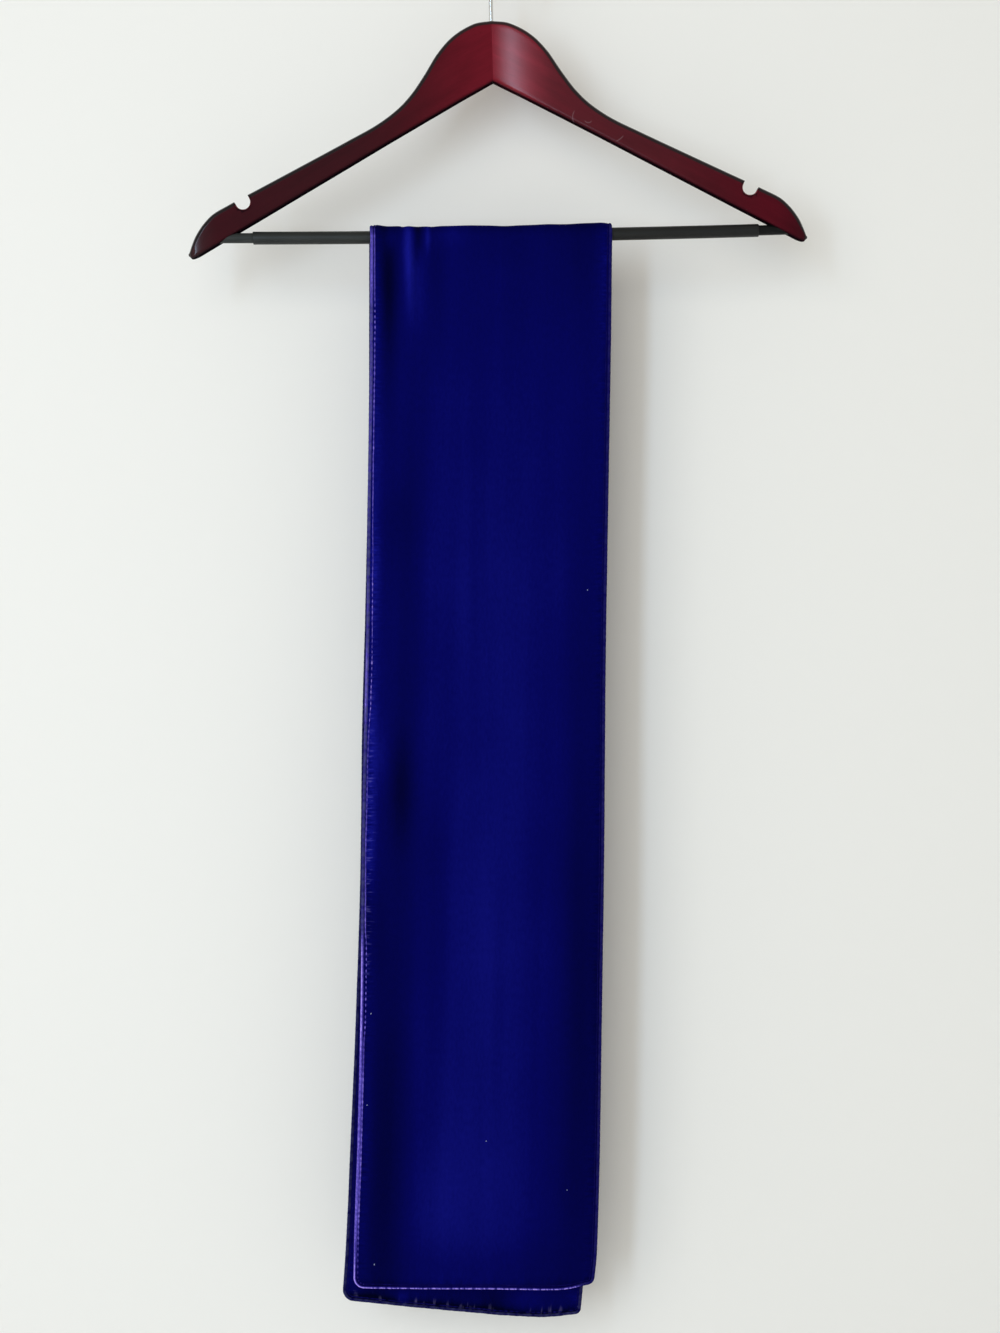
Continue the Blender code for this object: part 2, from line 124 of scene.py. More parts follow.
# Fine scratches in the right arm's lacquer, each an arc: its circle's middle, its own middle, as across and
# height, its depth, the circle's radius and how far it reaches
SCRATCH_COLUMNS = ("circle_x", "circle_z", "middle_x", "middle_z", "depth", "radius", "reach")
SCRATCH_ROWS = (
    (69.0, -134.9, 60.8, -134.9, -4.9, 8.2, 5.4),
    (72.2, -136.0, 72.0, -138.9, -6.0, 3.1, 3.2),
    (88.1, -141.5, 95.0, -151.3, -7.2, 12.0, 3.8),
)
SCRATCH_WIDTH = 0.55 * MM
SCRATCH_STRENGTH = 0.6

# Strap notch: a half circle let into the upper edge, with walls that open out a little and softened rims. Cut
# wood keeps an edge that turns by more than the sharp angle
NOTCH_FROM_MIDDLE = 183.4 * MM
NOTCH_HEIGHT = -129.2 * MM
NOTCH_RADIUS = 5.4 * MM
NOTCH_TURN = math.radians(27.5)
NOTCH_FLARE = 0.9 * MM
NOTCH_STEPS = 28
NOTCH_RIM = 0.9 * MM
CUT_SHARP_ANGLE = math.radians(38)

# Trouser bar: where its ends are in the arms, how far its middle sags under the cloth, its sleeve, and where
# the holes in the arms start
BAR_LEFT = -205 * MM
BAR_RIGHT = 213 * MM
BAR_LEFT_HEIGHT = -154.1 * MM
BAR_RIGHT_HEIGHT = -159.7 * MM
BAR_SAG = 1.5 * MM
BAR_RADIUS = 3.6 * MM
SLEEVE_RADIUS = 4.6 * MM
SLEEVE_LEFT = -177 * MM
SLEEVE_RIGHT = 189 * MM
SLEEVE_LIP = 0.5 * MM
SLEEVE_BORE = BAR_RADIUS + 0.15 * MM
HOLE_START = 150 * MM
GAP = 0.3 * MM

# Hook: a straight wire that turns aside, runs round the loop and ends in a rounded tip
WIRE_RADIUS = 1.8 * MM
HOOK_INSIDE_RADIUS = 18 * MM
HOOK_START = math.radians(-65)
HOOK_END = math.radians(198)
HOOK_ROOT = -16 * MM
ROOT_HOLE_TOP = 20 * MM
TIP_ANGLES = (15, 30, 45, 60, 72, 84)

# Scarf: its width and thickness, its rounded corners, half its bend over the bar, how far its middle lies
# from the bar's axis, and each fall's edges, hem and sway
WIDTH = 175 * MM
THICKNESS = 2.6 * MM
LEFT_CORNER = 8 * MM
RIGHT_CORNER = 4 * MM
HALF_BEND = 9.7 * MM
MIDDLE_LIFT = SLEEVE_RADIUS + GAP + THICKNESS / 2
EDGE_COLUMNS = ("drop", "left", "right")
FRONT_EDGES = (
    (0, -85.4, 89.2),
    (80, -85.7, 88.3),
    (200, -87.6, 86.4),
    (280, -88.4, 85.0),
    (340, -89.7, 84.3),
    (450, -91.7, 83.4),
    (550, -92.5, 81.9),
    (650, -94.7, 80.5),
    (735, -97.5, 78.2),
    (770, -98.0, 74.6),
)
BACK_EDGES = (
    (0, -87.3, 88.8),
    (90, -87.3, 88.0),
    (250, -89.5, 85.5),
    (360, -92.3, 82.6),
    (450, -93.3, 81.6),
    (550, -96.2, 79.0),
    (650, -100.4, 74.8),
    (740, -104.6, 70.5),
    (790, -108.6, 66.3),
)
HEM_COLUMNS = ("across", "drop")
FRONT_HEM = ((0.0, 759.5), (0.3, 760.8), (0.55, 761.5), (0.85, 762.8), (1.0, 758.5))
BACK_HEM = ((0.0, 772.0), (0.33, 778.5), (0.5, 781.5), (0.7, 785.0), (0.85, 786.5), (1.0, 784.5))
SWAY_COLUMNS = ("drop", "front", "back")
SWAY_ROWS = (
    (0, 0.0, 0.0),
    (60, -0.6, 0.3),
    (180, -1.8, -0.6),
    (340, -0.6, -1.8),
    (520, 1.2, -2.2),
    (680, 0.4, -0.8),
    (790, -0.8, 0.6),
)

# Folds and creases, raised outwards, or let in where the height is below nothing: distance from the left
# edge, how far it wanders to the right per unit of drop, half width, height, the drop where it is highest
# (below nothing is the back fall), and reach
FOLD_COLUMNS = ("from_left", "wander", "half_width", "height", "highest_at", "reach")
FOLD_ROWS = (
    (4.0, 0.00, 5.5, 1.7, 60, 150),
    (15.5, 0.00, 6.0, 0.9, 0, 9),
    (27.0, 0.05, 3.6, 2.3, 18, 38),
    (41.5, 0.10, 3.0, 1.0, 9, 11),
    (70.0, -0.05, 11.0, 1.6, -65, 52),
    (128.0, 0.04, 9.0, 1.3, -55, 48),
    (168.0, 0.00, 7.0, 1.2, 70, 90),
)
CREASE_ROWS = (
    (15.4, 0.02, 5.2, -1.5, 32, 44),
    (34.6, 0.04, 2.4, -1.6, 13, 9),
    (26.0, 0.00, 4.6, -1.9, 0, 6),
    (43.0, 0.00, 5.0, -0.7, 0, 7),
    (21.5, 0.00, 1.8, 0.4, 0, 4),
    (52.0, 0.03, 9.0, 0.4, 150, 120),
    (86.0, 0.02, 15.0, 0.5, 260, 190),
    (118.0, -0.01, 12.0, -0.4, 200, 170),
    (150.0, 0.00, 9.0, -0.5, 330, 200),
    (31.0, 0.01, 10.0, -0.5, 470, 170),
    (64.0, 0.02, 13.0, 0.45, 560, 150),
    (104.0, -0.02, 14.0, -0.4, 610, 160),
    (139.0, 0.01, 10.0, 0.45, 640, 130),
    (165.0, 0.00, 5.0, 0.4, 520, 140),
    (20.0, 0.03, 9.0, 0.7, -70, 90),
    (98.0, 0.02, 8.0, -0.8, -40, 60),
    (155.0, -0.03, 9.0, 0.8, -60, 100),
    (45.0, 0.00, 13.0, 0.5, -300, 190),
    (92.0, 0.01, 12.0, -0.5, -380, 210),
    (132.0, -0.01, 11.0, 0.5, -260, 160),
    (28.0, 0.00, 9.0, 0.5, -600, 150),
    (76.0, 0.02, 12.0, 0.4, -640, 130),
    (118.0, 0.00, 9.0, -0.5, -690, 120),
    (152.0, 0.01, 10.0, 0.5, -560, 150),
)

# Short puckers that run up from the hems: distance from the left edge, half width, height and length
PUCKER_COLUMNS = ("from_left", "half_width", "height", "length")
BACK_PUCKERS = (
    (20.0, 2.8, 0.35, 14),
    (33.5, 2.2, 0.55, 17),
    (44.5, 2.0, 0.45, 13),
    (60.5, 2.6, 0.40, 11),
    (70.7, 2.2, 0.60, 19),
    (88.9, 2.8, 0.35, 12),
    (103.5, 2.2, 0.45, 15),
    (121.7, 2.4, 0.50, 18),
    (131.9, 2.0, 0.45, 12),
    (140.6, 2.2, 0.40, 10),
    (153.0, 2.6, 0.50, 16),
    (164.5, 2.2, 0.60, 14),
)
FRONT_PUCKERS = (
    (14.0, 2.4, 0.30, 10),
    (27.0, 2.8, 0.22, 13),
    (49.0, 2.4, 0.26, 9),
    (66.0, 3.0, 0.20, 14),
    (93.0, 2.6, 0.24, 11),
    (112.0, 2.4, 0.20, 9),
    (136.0, 2.8, 0.24, 12),
    (158.0, 2.4, 0.28, 10),
)

# How the pile lies, with painted light and shade: patches that look lighter, or darker below nothing, placed
# as the folds are. The dark ones are largely painted shade in creases and valleys, and the light ones partly
# painted light on ridges
NAP_AND_SHADE_ROWS = (
    (92.0, 0.00, 46.0, 0.26, 560, 430),
    (10.5, 0.02, 7.0, -0.56, 38, 72),
    (15.8, 0.01, 6.5, -0.30, 26, 44),
    (27.4, 0.03, 3.2, 0.95, 12, 36),
    (33.5, 0.05, 6.5, 0.30, 38, 36),
    (80.0, 0.00, 46.0, -0.22, 40, 80),
    (58.0, 0.00, 13.0, 0.22, -1, 7),
    (100.0, 0.00, 26.0, -0.18, 8, 18),
    (66.0, 0.00, 42.0, -0.28, 745, 22),
    (34.5, 0.02, 3.2, -0.60, 3, 12),
    (47.0, 0.00, 7.0, -0.22, 20, 50),
    (41.6, 0.02, 1.8, 0.85, 2, 9),
    (14.5, 0.00, 4.0, 0.30, 2, 7),
    (28.0, 0.00, 15.0, -0.24, 330, 300),
    (30.0, 0.00, 9.0, -0.12, 395, 55),
    (54.0, 0.00, 12.0, -0.12, 520, 130),
    (50.0, 0.00, 12.0, -0.20, 437, 40),
    (20.0, 0.00, 17.0, -0.22, 205, 32),
    (12.0, 0.00, 8.0, -0.20, 500, 36),
    (161.0, 0.00, 14.0, -0.14, 250, 420),
    (150.0, 0.00, 20.0, -0.26, 0, 60),
    (170.5, 0.00, 3.5, 0.30, 26, 34),
    (27.0, 0.00, 10.0, -0.38, 400, 42),
    (12.5, 0.00, 6.0, 0.32, 376, 22),
    (20.0, 0.00, 16.0, -0.56, 665, 150),
    (66.0, 0.00, 22.0, 0.24, 685, 60),
    (160.0, 0.00, 25.0, -0.46, 610, 250),
    (120.0, 0.00, 26.0, -0.20, 750, 22),
    (60.0, 0.00, 30.0, 0.14, -260, 300),
    (130.0, 0.00, 28.0, -0.20, -420, 320),
    (30.0, 0.00, 26.0, -0.26, -620, 200),
    (44.4, 0.00, 3.6, 0.95, -776, 9),
    (138.0, 0.00, 11.0, 0.30, -772, 16),
    (85.0, 0.00, 38.0, -0.40, -772, 16),
    (150.0, 0.00, 20.0, -0.24, -778, 14),
    (20.0, 0.00, 15.0, -0.45, -770, 12),
    (112.0, 0.00, 10.0, -0.35, -775, 12),
)

# The cloth's section near its edge: distance in from the outline, and half the thickness there
SECTION_COLUMNS = ("from_edge", "half")
SECTION_ROWS = (
    (1.1, 0.45),
    (2.0, 0.7),
    (2.8, 0.8),
    (3.6, 0.92),
    (4.5, 1.05),
    (5.8, 1.22),
    (8.0, 1.32),
    (20, 1.3),
    (90, 1.3),
)
BODY_INSET = 1.1 * MM

# The cloth's grid: lines in from the edges, how far the folds by the left edge reach, the steps between lines
# over the folds and beyond them on either face, and the rows down a fall, which is about 77 cm long, and over
# the bend. The inner face's place on its map is set apart from the outer one's
NEAR_EDGE = (1.1, 1.8, 2.5, 3.2, 3.9, 4.7, 5.8, 7.2, 9.0)
FOLDS_END = 62 * MM
OUTER_STEPS = (1.55 * MM, 2.15 * MM)
INNER_STEPS = (4.2 * MM, 6.4 * MM)
FALL_ROWS = 316
FALL_LENGTH = 0.77
BEND_ROWS = 25
INNER_MAP_SHIFT = 2.0

# Bands where the pile changes: how much, where the band's middle is and its half width. The first five are
# how much darker the pile is painted over the bend and by the hems and sides, as painted shade. The others
# are the lighter band beside the ridge, which is painted light, the most ruffled stretch of the left edge,
# fine puckers, and where the pile is rubbed, which also carries painted sheen
PILE_BANDS = {
    "bend": (0.45, 0, 8),
    "front_hem": (0.3, 1.5, 4.5),
    "back_hem": (0.85, 1.5, 4.5),
    "front_side": (0.25, 1, 4),
    "back_side": (0.1, 1, 4),
    "painted_light_beside_ridge": (1.0, 5.4, 4.2),
    "ruffled_stretch": (1.0, 430, 110),
    "side_puckers": (1.0, 3.5, 6),
    "front_hem_puckers": (0.45, 0, 9),
    "back_hem_puckers": (0.8, 0, 9),
    "side_rub_sheen": (0.24, 6, 3.5),
    "back_hem_rub_sheen": (0.34, 5.5, 3.2),
}
DARKEST_NAP_SHADE = -0.93

# The rolled edge and the stitched ridge inside it, and the steps and sides that each is made with
ROLL_INSET = 1.4 * MM
ROLL_HALF_WIDTH = 1.4 * MM
ROLL_HALF_DEPTH = 1.3 * MM
RIDGE_HALF_WIDTH = 0.82 * MM
RIDGE_HALF_DEPTH = 1.05 * MM
STITCH_LENGTH = 4.1 * MM
ROLL_STEP = 0.62 * MM
ROLL_SIDES = 12
RIDGE_STEP = 0.68 * MM
RIDGE_SIDES = 8
OUTLINE_POINTS = {"corner": 40, "side": 1200, "hem": 200}
CORD_MAP_RADIUS = 1.4 * MM

# The front fall's left edge, by drop: how far in the ridge runs, how far its beads stand apart, how far the
# roll's pile is rubbed open all over and along the line that stands proudest, how far the ridge's pile is,
# how greyish the worn pile is, and how light the flat pile lies beside the ridge. The rubbed columns are
# painted sheen and the last one painted light, strongest where the edge faces the light
EDGE_LOOK_COLUMNS = ("drop", "ridge_inset", "beading", "roll", "roll_sheen_line", "ridge", "frost", "beside")
EDGE_LOOK_ROWS = (
    (0, 3.4, 0.10, 0.50, 0.56, 0.48, 0.2, 0.0),
    (38, 3.5, 0.20, 0.50, 0.58, 0.48, 0.2, 0.3),
    (54, 3.8, 0.75, 0.34, 0.44, 0.58, 0.5, 0.45),
    (110, 3.7, 0.45, 0.36, 0.40, 0.58, 0.5, 0.35),
    (205, 4.1, 0.20, 0.28, 0.32, 0.54, 0.75, 0.4),
    (235, 4.4, 0.25, 0.22, 0.28, 0.50, 0.75, 0.8),
    (262, 4.4, 0.45, 0.28, 0.42, 0.72, 0.7, 0.6),
    (290, 4.6, 0.25, 0.26, 0.40, 0.66, 0.6, 0.3),
    (308, 4.8, 0.45, 0.36, 0.72, 0.78, 0.6, 0.3),
    (336, 4.7, 0.50, 0.38, 0.72, 0.78, 0.6, 0.5),
    (352, 3.9, 0.40, 0.28, 0.46, 0.58, 0.6, 0.8),
    (379, 3.3, 0.60, 0.20, 0.32, 0.42, 0.5, 0.8),
    (408, 3.4, 0.50, 0.20, 0.32, 0.50, 0.5, 0.8),
    (437, 3.0, 0.30, 0.18, 0.28, 0.50, 0.5, 0.9),
    (466, 3.1, 0.10, 0.16, 0.28, 0.50, 0.5, 0.3),
    (500, 3.4, 0.15, 0.20, 0.40, 0.60, 0.4, 0.0),
    (516, 4.2, 0.80, 0.30, 1.05, 0.58, 0.1, 0.1),
    (570, 3.9, 0.90, 0.32, 1.10, 0.60, 0.0, 0.1),
    (583, 3.2, 0.30, 0.36, 0.95, 0.46, 0.0, 0.1),
    (612, 3.1, 0.35, 0.48, 0.64, 0.64, 0.0, 0.2),
    (700, 3.1, 0.45, 0.52, 0.68, 0.66, 0.0, 0.2),
    (728, 3.2, 0.70, 0.38, 0.62, 0.52, 0.0, 0.2),
    (744, 3.3, 0.80, 0.16, 1.05, 0.28, 0.0, 0.1),
    (760, 3.4, 0.90, 0.10, 1.30, 0.20, 0.0, 0.0),
    (790, 3.4, 0.90, 0.10, 1.30, 0.20, 0.0, 0.0),
)
RIDGE_INSET_ELSEWHERE = 3.6

# How far each look of the edge reaches and how long it takes to fade: in from the left edge, up from the
# front hem, along the front hem to the right, and from the front fall over the bar
EDGE_FADES = {
    "left": (11 * MM, 3 * MM),
    "hem": (12 * MM, 4 * MM),
    "hem_end": (WIDTH - 9 * MM, 4 * MM),
}
TOP_FADE_START = 5 * MM
TOP_FADE_LENGTH = 2 * MM

# Lint on the front fall: distance from the left edge, drop, length and turn in degrees
LINT_COLUMNS = ("from_left", "drop", "length", "turn")
LINT_ROWS = (
    (8.2, 561, 1.4, 70),
    (6.6, 627, 1.2, 30),
    (15.4, 742, 1.5, 80),
    (93.0, 654, 0.9, 40),
    (152.0, 690, 0.8, 110),
    (161.0, 258, 1.0, 60),
)
LINT_BOW = 0.25
LINT_TIP_RADIUS = 0.10
LINT_SWELL = 0.16
LINT_CLEAR = 0.08 * MM

# Colours, as shares of red, green and blue light. A ramp's rows are a place from nothing to one and a colour
VELVET_RAMP = (
    (0.04, (0.0005, 0.0008, 0.012)),
    (0.4, (0.0017, 0.0020, 0.094)),
    (0.85, (0.0065, 0.0080, 0.225)),
)
RUBBED_PILE_SHEEN = (0.17, 0.15, 0.40)
# The lilac top of the edge ramp is painted sheen
EDGE_RAMP = (
    (0.0, (0.0012, 0.0012, 0.012)),
    (0.12, (0.0030, 0.0020, 0.075)),
    (0.28, (0.024, 0.018, 0.19)),
    (0.5, (0.085, 0.062, 0.43)),
    (0.7, (0.19, 0.14, 0.64)),
    (0.9, (0.43, 0.31, 0.97)),
)
WORN_EDGE = (0.080, 0.084, 0.195)
LINT_RAMP = ((0.3, (0.26, 0.30, 0.55)), (0.7, (0.48, 0.54, 0.78)))
LACQUER_RAMP = (
    (0.3, (0.172, 0.0070, 0.0175)),
    (0.5, (0.208, 0.0086, 0.0215)),
    (0.7, (0.248, 0.0108, 0.0265)),
)
RIM_SHADE_COLOUR = (0.0035, 0.0020, 0.0042)
SCRATCH_COLOUR = (0.19, 0.10, 0.12)
SLEEVE_RAMP = ((0.3, (0.009, 0.011, 0.011)), (0.75, (0.018, 0.021, 0.021)))
BAR_COLOUR = (0.026, 0.030, 0.030)
WORN_BAR_COLOUR = (0.055, 0.056, 0.056)
WIRE_COLOUR = (0.88, 0.89, 0.90)
RUBBED_WIRE_COLOUR = (0.70, 0.71, 0.72)
BACKDROP_COLOUR = (0.845, 0.845, 0.84)
FLOOR_COLOUR = (0.80, 0.80, 0.79)

# Camera, from the photo's view: straight on, from a little above the cloth's middle
CAMERA_PLACE = (8.14 * MM, -1350 * MM, -533.4 * MM)
CAMERA_LENS = 50.08
CAMERA_SENSOR = 36.0

# Stage: a backdrop behind the part, up to its top, and a floor below
BACKDROP_DEPTH = 66 * MM
BACKDROP_TOP = 1.6
FLOOR_HEIGHT = -1.3
STAGE_SIZE = 5.0

# Lamps. Each stands off the part's middle by its azimuth and elevation, in degrees, and its distance, and
# faces it. Mirrored says whether glossy surfaces reflect it. The room's own light comes from all round
MIDDLE = (0.0, 0.0, -0.5)
LIGHT_COLUMNS = ("name", "azimuth", "elevation", "distance", "width", "height", "power", "mirrored", "colour")
LIGHT_ROWS = (
    ("window", 21, 5, 2.3, 0.24, 1.4, 11.6, True, (0.58, 0.79, 1.0)),
    ("room_glow", 19, 8, 3.2, 3.0, 2.4, 46.5, False, (1.0, 0.965, 0.875)),
)
ROOM_COLOUR = (1.0, 0.965, 0.875)
ROOM_LIGHT = 0.50


def column(rows, columns, name):
    """One named column of a table, as an array."""
    return np.array([row[columns.index(name)] for row in rows], dtype=float)


def smooth_through(places, knots, values):
    """A smooth curve through the knots that never overshoots them: cubic pieces whose slope at a knot is the
    harmonic mean of the slopes beside it, or level where those differ in sign."""
    step = np.diff(knots)
    slope = np.diff(values) / step
    before, after = slope[:-1], slope[1:]
    same_way = before * after > 0
    mean = np.where(same_way, 2 * before * after / np.where(same_way, before + after, 1), 0)
    tangent = np.concatenate([slope[:1], mean, slope[-1:]])
    places = np.clip(places, knots[0], knots[-1])
    cell = np.clip(np.searchsorted(knots, places, side="right") - 1, 0, len(step) - 1)
    share = (places - knots[cell]) / step[cell]
    start = values[cell] * (1 + 2 * share) * (1 - share) ** 2
    end = values[cell + 1] * share**2 * (3 - 2 * share)
    bend = share * (1 - share) * step[cell]
    return start + end + bend * (tangent[cell] * (1 - share) - tangent[cell + 1] * share)


def table_curve(rows, columns, name, places):
    """A named column of a table, smoothly, at places along its first column. All in metres."""
    knots = column(rows, columns, columns[0])
    return smooth_through(places / MM, knots, column(rows, columns, name)) * MM


def soft_bumps(rows, from_left, drop):
    """The sum of a table's soft bumps. Each is its height times a bell curve across, whose middle wanders
    with the drop, times a bell curve along. Drop is positive on the front fall, negative on the back one."""
    total = np.zeros(np.broadcast(from_left, drop).shape)
    for row in rows:
        bump = dict(zip(FOLD_COLUMNS, row))
        middle = (bump["from_left"] + bump["wander"] * drop / MM) * MM
        across = (from_left - middle) / (bump["half_width"] * MM)
        along = (drop - bump["highest_at"] * MM) / (bump["reach"] * MM)
        total += bump["height"] * np.exp(-(across**2) - along**2)
    return total


def hem_puckers(rows, from_left, to_hem):
    """Puckers that start at a hem: each is a bell curve across, highest a third of its length up from the hem
    and fading above it as a bell curve too."""
    total = np.zeros(np.broadcast(from_left, to_hem).shape)
    for row in rows:
        fold = dict(zip(PUCKER_COLUMNS, row))
        across = (from_left - fold["from_left"] * MM) / (fold["half_width"] * MM)
        along = (to_hem / (fold["length"] * MM) - 0.33) / 0.5
        total += fold["height"] * np.exp(-(across**2) - along**2)
    return total * MM


def uneven(places, wavelength, seed):
    """A smooth uneven wave between -1 and 1: four sines whose lengths share no common multiple, with phases
    set by the seed."""
    phase = np.random.default_rng(seed).uniform(0, 2 * math.pi, 4)
    total = np.zeros_like(places)
    for step, stretch in enumerate((1.0, 1.618, 0.577, 2.414)):
        total += np.sin(2 * math.pi * places / (wavelength * stretch) + phase[step])
    return total / 4


def grid_corners(rows, columns, wrap_rows, wrap_columns):
    """Row and column numbers of the four corners of each cell of a grid. A wrapped grid has one more row or
    column of cells, whose far corners are numbered on past the last."""
    row, place = np.meshgrid(
        np.arange(rows if wrap_rows else rows - 1),
        np.arange(columns if wrap_columns else columns - 1),
        indexing="ij",
    )
    row, place = row.ravel(), place.ravel()
    corner_rows = np.stack([row, row, row + 1, row + 1], axis=1)
    corner_places = np.stack([place, place + 1, place + 1, place], axis=1)
    return corner_rows, corner_places


def pile_up(faces, caps):
    """Corners and first corners of all faces, four-cornered ones first and then the caps."""
    corners = np.concatenate([faces.ravel()] + [np.asarray(cap) for cap in caps])
    sizes = np.array([4] * len(faces) + [len(cap) for cap in caps])
    return corners, np.concatenate([[0], np.cumsum(sizes)[:-1]])


def skin(name, points, material, uv=None, wrap_rows=False, wrap_columns=False, values=None):
    """A piece whose skin is a grid of points, rows by columns. Where only the columns wrap, as round a rod,
    both ends are capped. The uv grid has one more row or column where the grid wraps. Faces are turned
    outwards by the sign of the volume that they enclose."""
    rows, columns = points.shape[:2]
    flat = points.reshape(-1, 3)
    corner_rows, corner_places = grid_corners(rows, columns, wrap_rows, wrap_columns)
    faces = (corner_rows % rows) * columns + corner_places % columns
    a, b, c, d = (flat[faces[:, side]] for side in range(4))
    volume = np.einsum("ij,ij->", a, np.cross(b, c)) + np.einsum("ij,ij->", a, np.cross(c, d))
    caps = []
    if wrap_columns and not wrap_rows:
        caps = [np.arange(columns)[::-1], (rows - 1) * columns + np.arange(columns)]
    if volume < 0:
        faces = faces[:, ::-1]
        corner_rows, corner_places = corner_rows[:, ::-1], corner_places[:, ::-1]
        caps = [cap[::-1] for cap in caps]
    corners, starts = pile_up(faces, caps)
    mesh = bpy.data.meshes.new(name)
    mesh.vertices.add(len(flat))
    mesh.vertices.foreach_set("co", flat.astype(np.float32).ravel())
    mesh.loops.add(len(corners))
    mesh.loops.foreach_set("vertex_index", corners.astype(np.int32))
    mesh.polygons.add(len(starts))
    mesh.polygons.foreach_set("loop_start", starts.astype(np.int32))
    mesh.update(calc_edges=True)
    if uv is not None:
        places = np.zeros((len(corners), 2), dtype=np.float32)
        places[: faces.size] = uv[corner_rows, corner_places].reshape(-1, 2)
        layer = mesh.uv_layers.new(name="surface")
        layer.uv.foreach_set("vector", places.ravel())
    for key, numbers in (values or {}).items():
        layer = mesh.attributes.new(key, "FLOAT", "POINT")
        layer.data.foreach_set("value", np.broadcast_to(numbers, (rows, columns)).astype(np.float32).ravel())
    mesh.validate()
    mesh.shade_smooth()
    mesh.materials.append(material)
    piece = bpy.data.objects.new(name, mesh)
    bpy.context.scene.collection.objects.link(piece)
    return piece


def hanger_turn():
    """The turn from the hanger's own frame to the room: leant back about X, then tilted about Y."""
    lean = np.array([
        [1, 0, 0],
        [0, math.cos(LEAN), -math.sin(LEAN)],
        [0, math.sin(LEAN), math.cos(LEAN)],
    ])  # fmt: skip
    tilt = np.array([
        [math.cos(TILT), 0, math.sin(TILT)],
        [0, 1, 0],
        [-math.sin(TILT), 0, math.cos(TILT)],
    ])  # fmt: skip
    return tilt @ lean


def from_hanger(points):
    """Points of the hanger's own frame, whose origin is the top of the wood, in the room."""
    return (points + np.array([0, 0, -HOOK_ABOVE_WOOD])) @ hanger_turn().T


def sweep(from_middle):
    """How far the arms' middle line is from the hook's plane, forward below nothing: a straight slope, and by
    the neck a steeper one that fades as an exponential."""
    near_neck = (SWEEP_NECK - SWEEP_OUTER) * SWEEP_NECK_REACH
    return -SWEEP_OUTER * from_middle - near_neck * (1 - np.exp(-from_middle / SWEEP_NECK_REACH))


def bar_centre(along):
    """The bar's axis in the hanger's frame: straight from end to end, with a sag that follows a parabola."""
    share = (along - BAR_LEFT) / (BAR_RIGHT - BAR_LEFT)
    height = BAR_LEFT_HEIGHT + share * (BAR_RIGHT_HEIGHT - BAR_LEFT_HEIGHT)
    depth = np.full_like(along, float(sweep(BAR_RIGHT)))
    return np.stack([along, depth, height - BAR_SAG * 4 * share * (1 - share)], axis=-1)


BAR_LINE = from_hanger(bar_centre(np.linspace(SLEEVE_LEFT, SLEEVE_RIGHT, 90))).T


def node(tree, kind, inputs=None, **settings):
    """Add a node with its settings. An input that is given as a socket is linked, and any other is set."""
    made = tree.nodes.new(kind)
    for key, value in settings.items():
        setattr(made, key, value)
    for key, value in (inputs or {}).items():
        if isinstance(value, bpy.types.NodeSocket):
            tree.links.new(value, made.inputs[key])
        else:
            made.inputs[key].default_value = value
    return made


def maths(tree, operation, first, second=0.0):
    """The result of one sum on two numbers or sockets."""
    return node(tree, "ShaderNodeMath", {0: first, 1: second}, operation=operation).outputs[0]


def spread(tree, value, low, high, to_low, to_high):
    """A value carried from one range to another, and held at its ends."""
    inputs = {"Value": value, "From Min": low, "From Max": high, "To Min": to_low, "To Max": to_high}
    return node(tree, "ShaderNodeMapRange", inputs).outputs["Result"]


def noise(tree, vector, scale, detail=2.0, roughness=0.5):
    """A noise value at a vector."""
    inputs = {"Vector": vector, "Scale": scale, "Detail": detail, "Roughness": roughness}
    return node(tree, "ShaderNodeTexNoise", inputs).outputs["Fac"]


def drawn_noise(tree, vector, scales, detail=2.0, roughness=0.5):
    """A noise value whose blotches are drawn out, by a scale of its own along each axis."""
    placed = node(tree, "ShaderNodeMapping", {"Vector": vector, "Scale": scales}).outputs[0]
    return noise(tree, placed, 1.0, detail, roughness)


def product(tree, first, *others):
    """Several values multiplied in turn."""
    for other in others:
        first = maths(tree, "MULTIPLY", first, other)
    return first


def distance(tree, first, second):
    """The distance between two places."""
    return node(tree, "ShaderNodeVectorMath", {0: first, 1: second}, operation="DISTANCE").outputs["Value"]


def rgba(colour):
    """A colour with full alpha."""
    return (*colour, 1.0)


def mixed(tree, factor, first, second, blend="MIX"):
    """Two colours mixed by a factor."""
    inputs = {"Factor": factor, 6: first, 7: second}
    return node(tree, "ShaderNodeMix", inputs, data_type="RGBA", blend_type=blend).outputs[2]


def ramp(tree, value, stops):
    """A colour read from a row of stops, each a place and a colour."""
    made = node(tree, "ShaderNodeValToRGB", {"Fac": value})
    points = made.color_ramp.elements
    while len(points) < len(stops):
        points.new(0.5)
    for point, (place, colour) in zip(points, stops):
        point.position = place
        point.color = rgba(colour)
    return made.outputs["Color"]


def bumped(tree, height, strength, reach, below=None):
    """The normal of a bump as high as its reach, laid over the bump below it, if there is one."""
    inputs = {"Height": height, "Strength": strength, "Distance": reach}
    if below is not None:
        inputs["Normal"] = below
    return node(tree, "ShaderNodeBump", inputs).outputs["Normal"]


def attribute(tree, name):
    """A value that the piece's own points carry."""
    return node(tree, "ShaderNodeAttribute", attribute_name=name).outputs["Fac"]


def surface_map(tree):
    """The piece's own map of its surface."""
    return node(tree, "ShaderNodeUVMap", uv_map="surface").outputs["UV"]


def object_place(tree):
    """The place on the piece, in the room's metres."""
    return node(tree, "ShaderNodeTexCoord").outputs["Object"]


def new_material(name, slot_colour, own):
    """A material with its tree and its shader, whose own sockets are set by name."""
    material = bpy.data.materials.new(name)
    material.use_nodes = True
    material.diffuse_color = rgba(slot_colour)
    tree = material.node_tree
    shader = tree.nodes["Principled BSDF"]
    shader.inputs["Base Color"].default_value = rgba(slot_colour)
    for key, value in own.items():
        shader.inputs[key].default_value = value
    return material, tree, shader


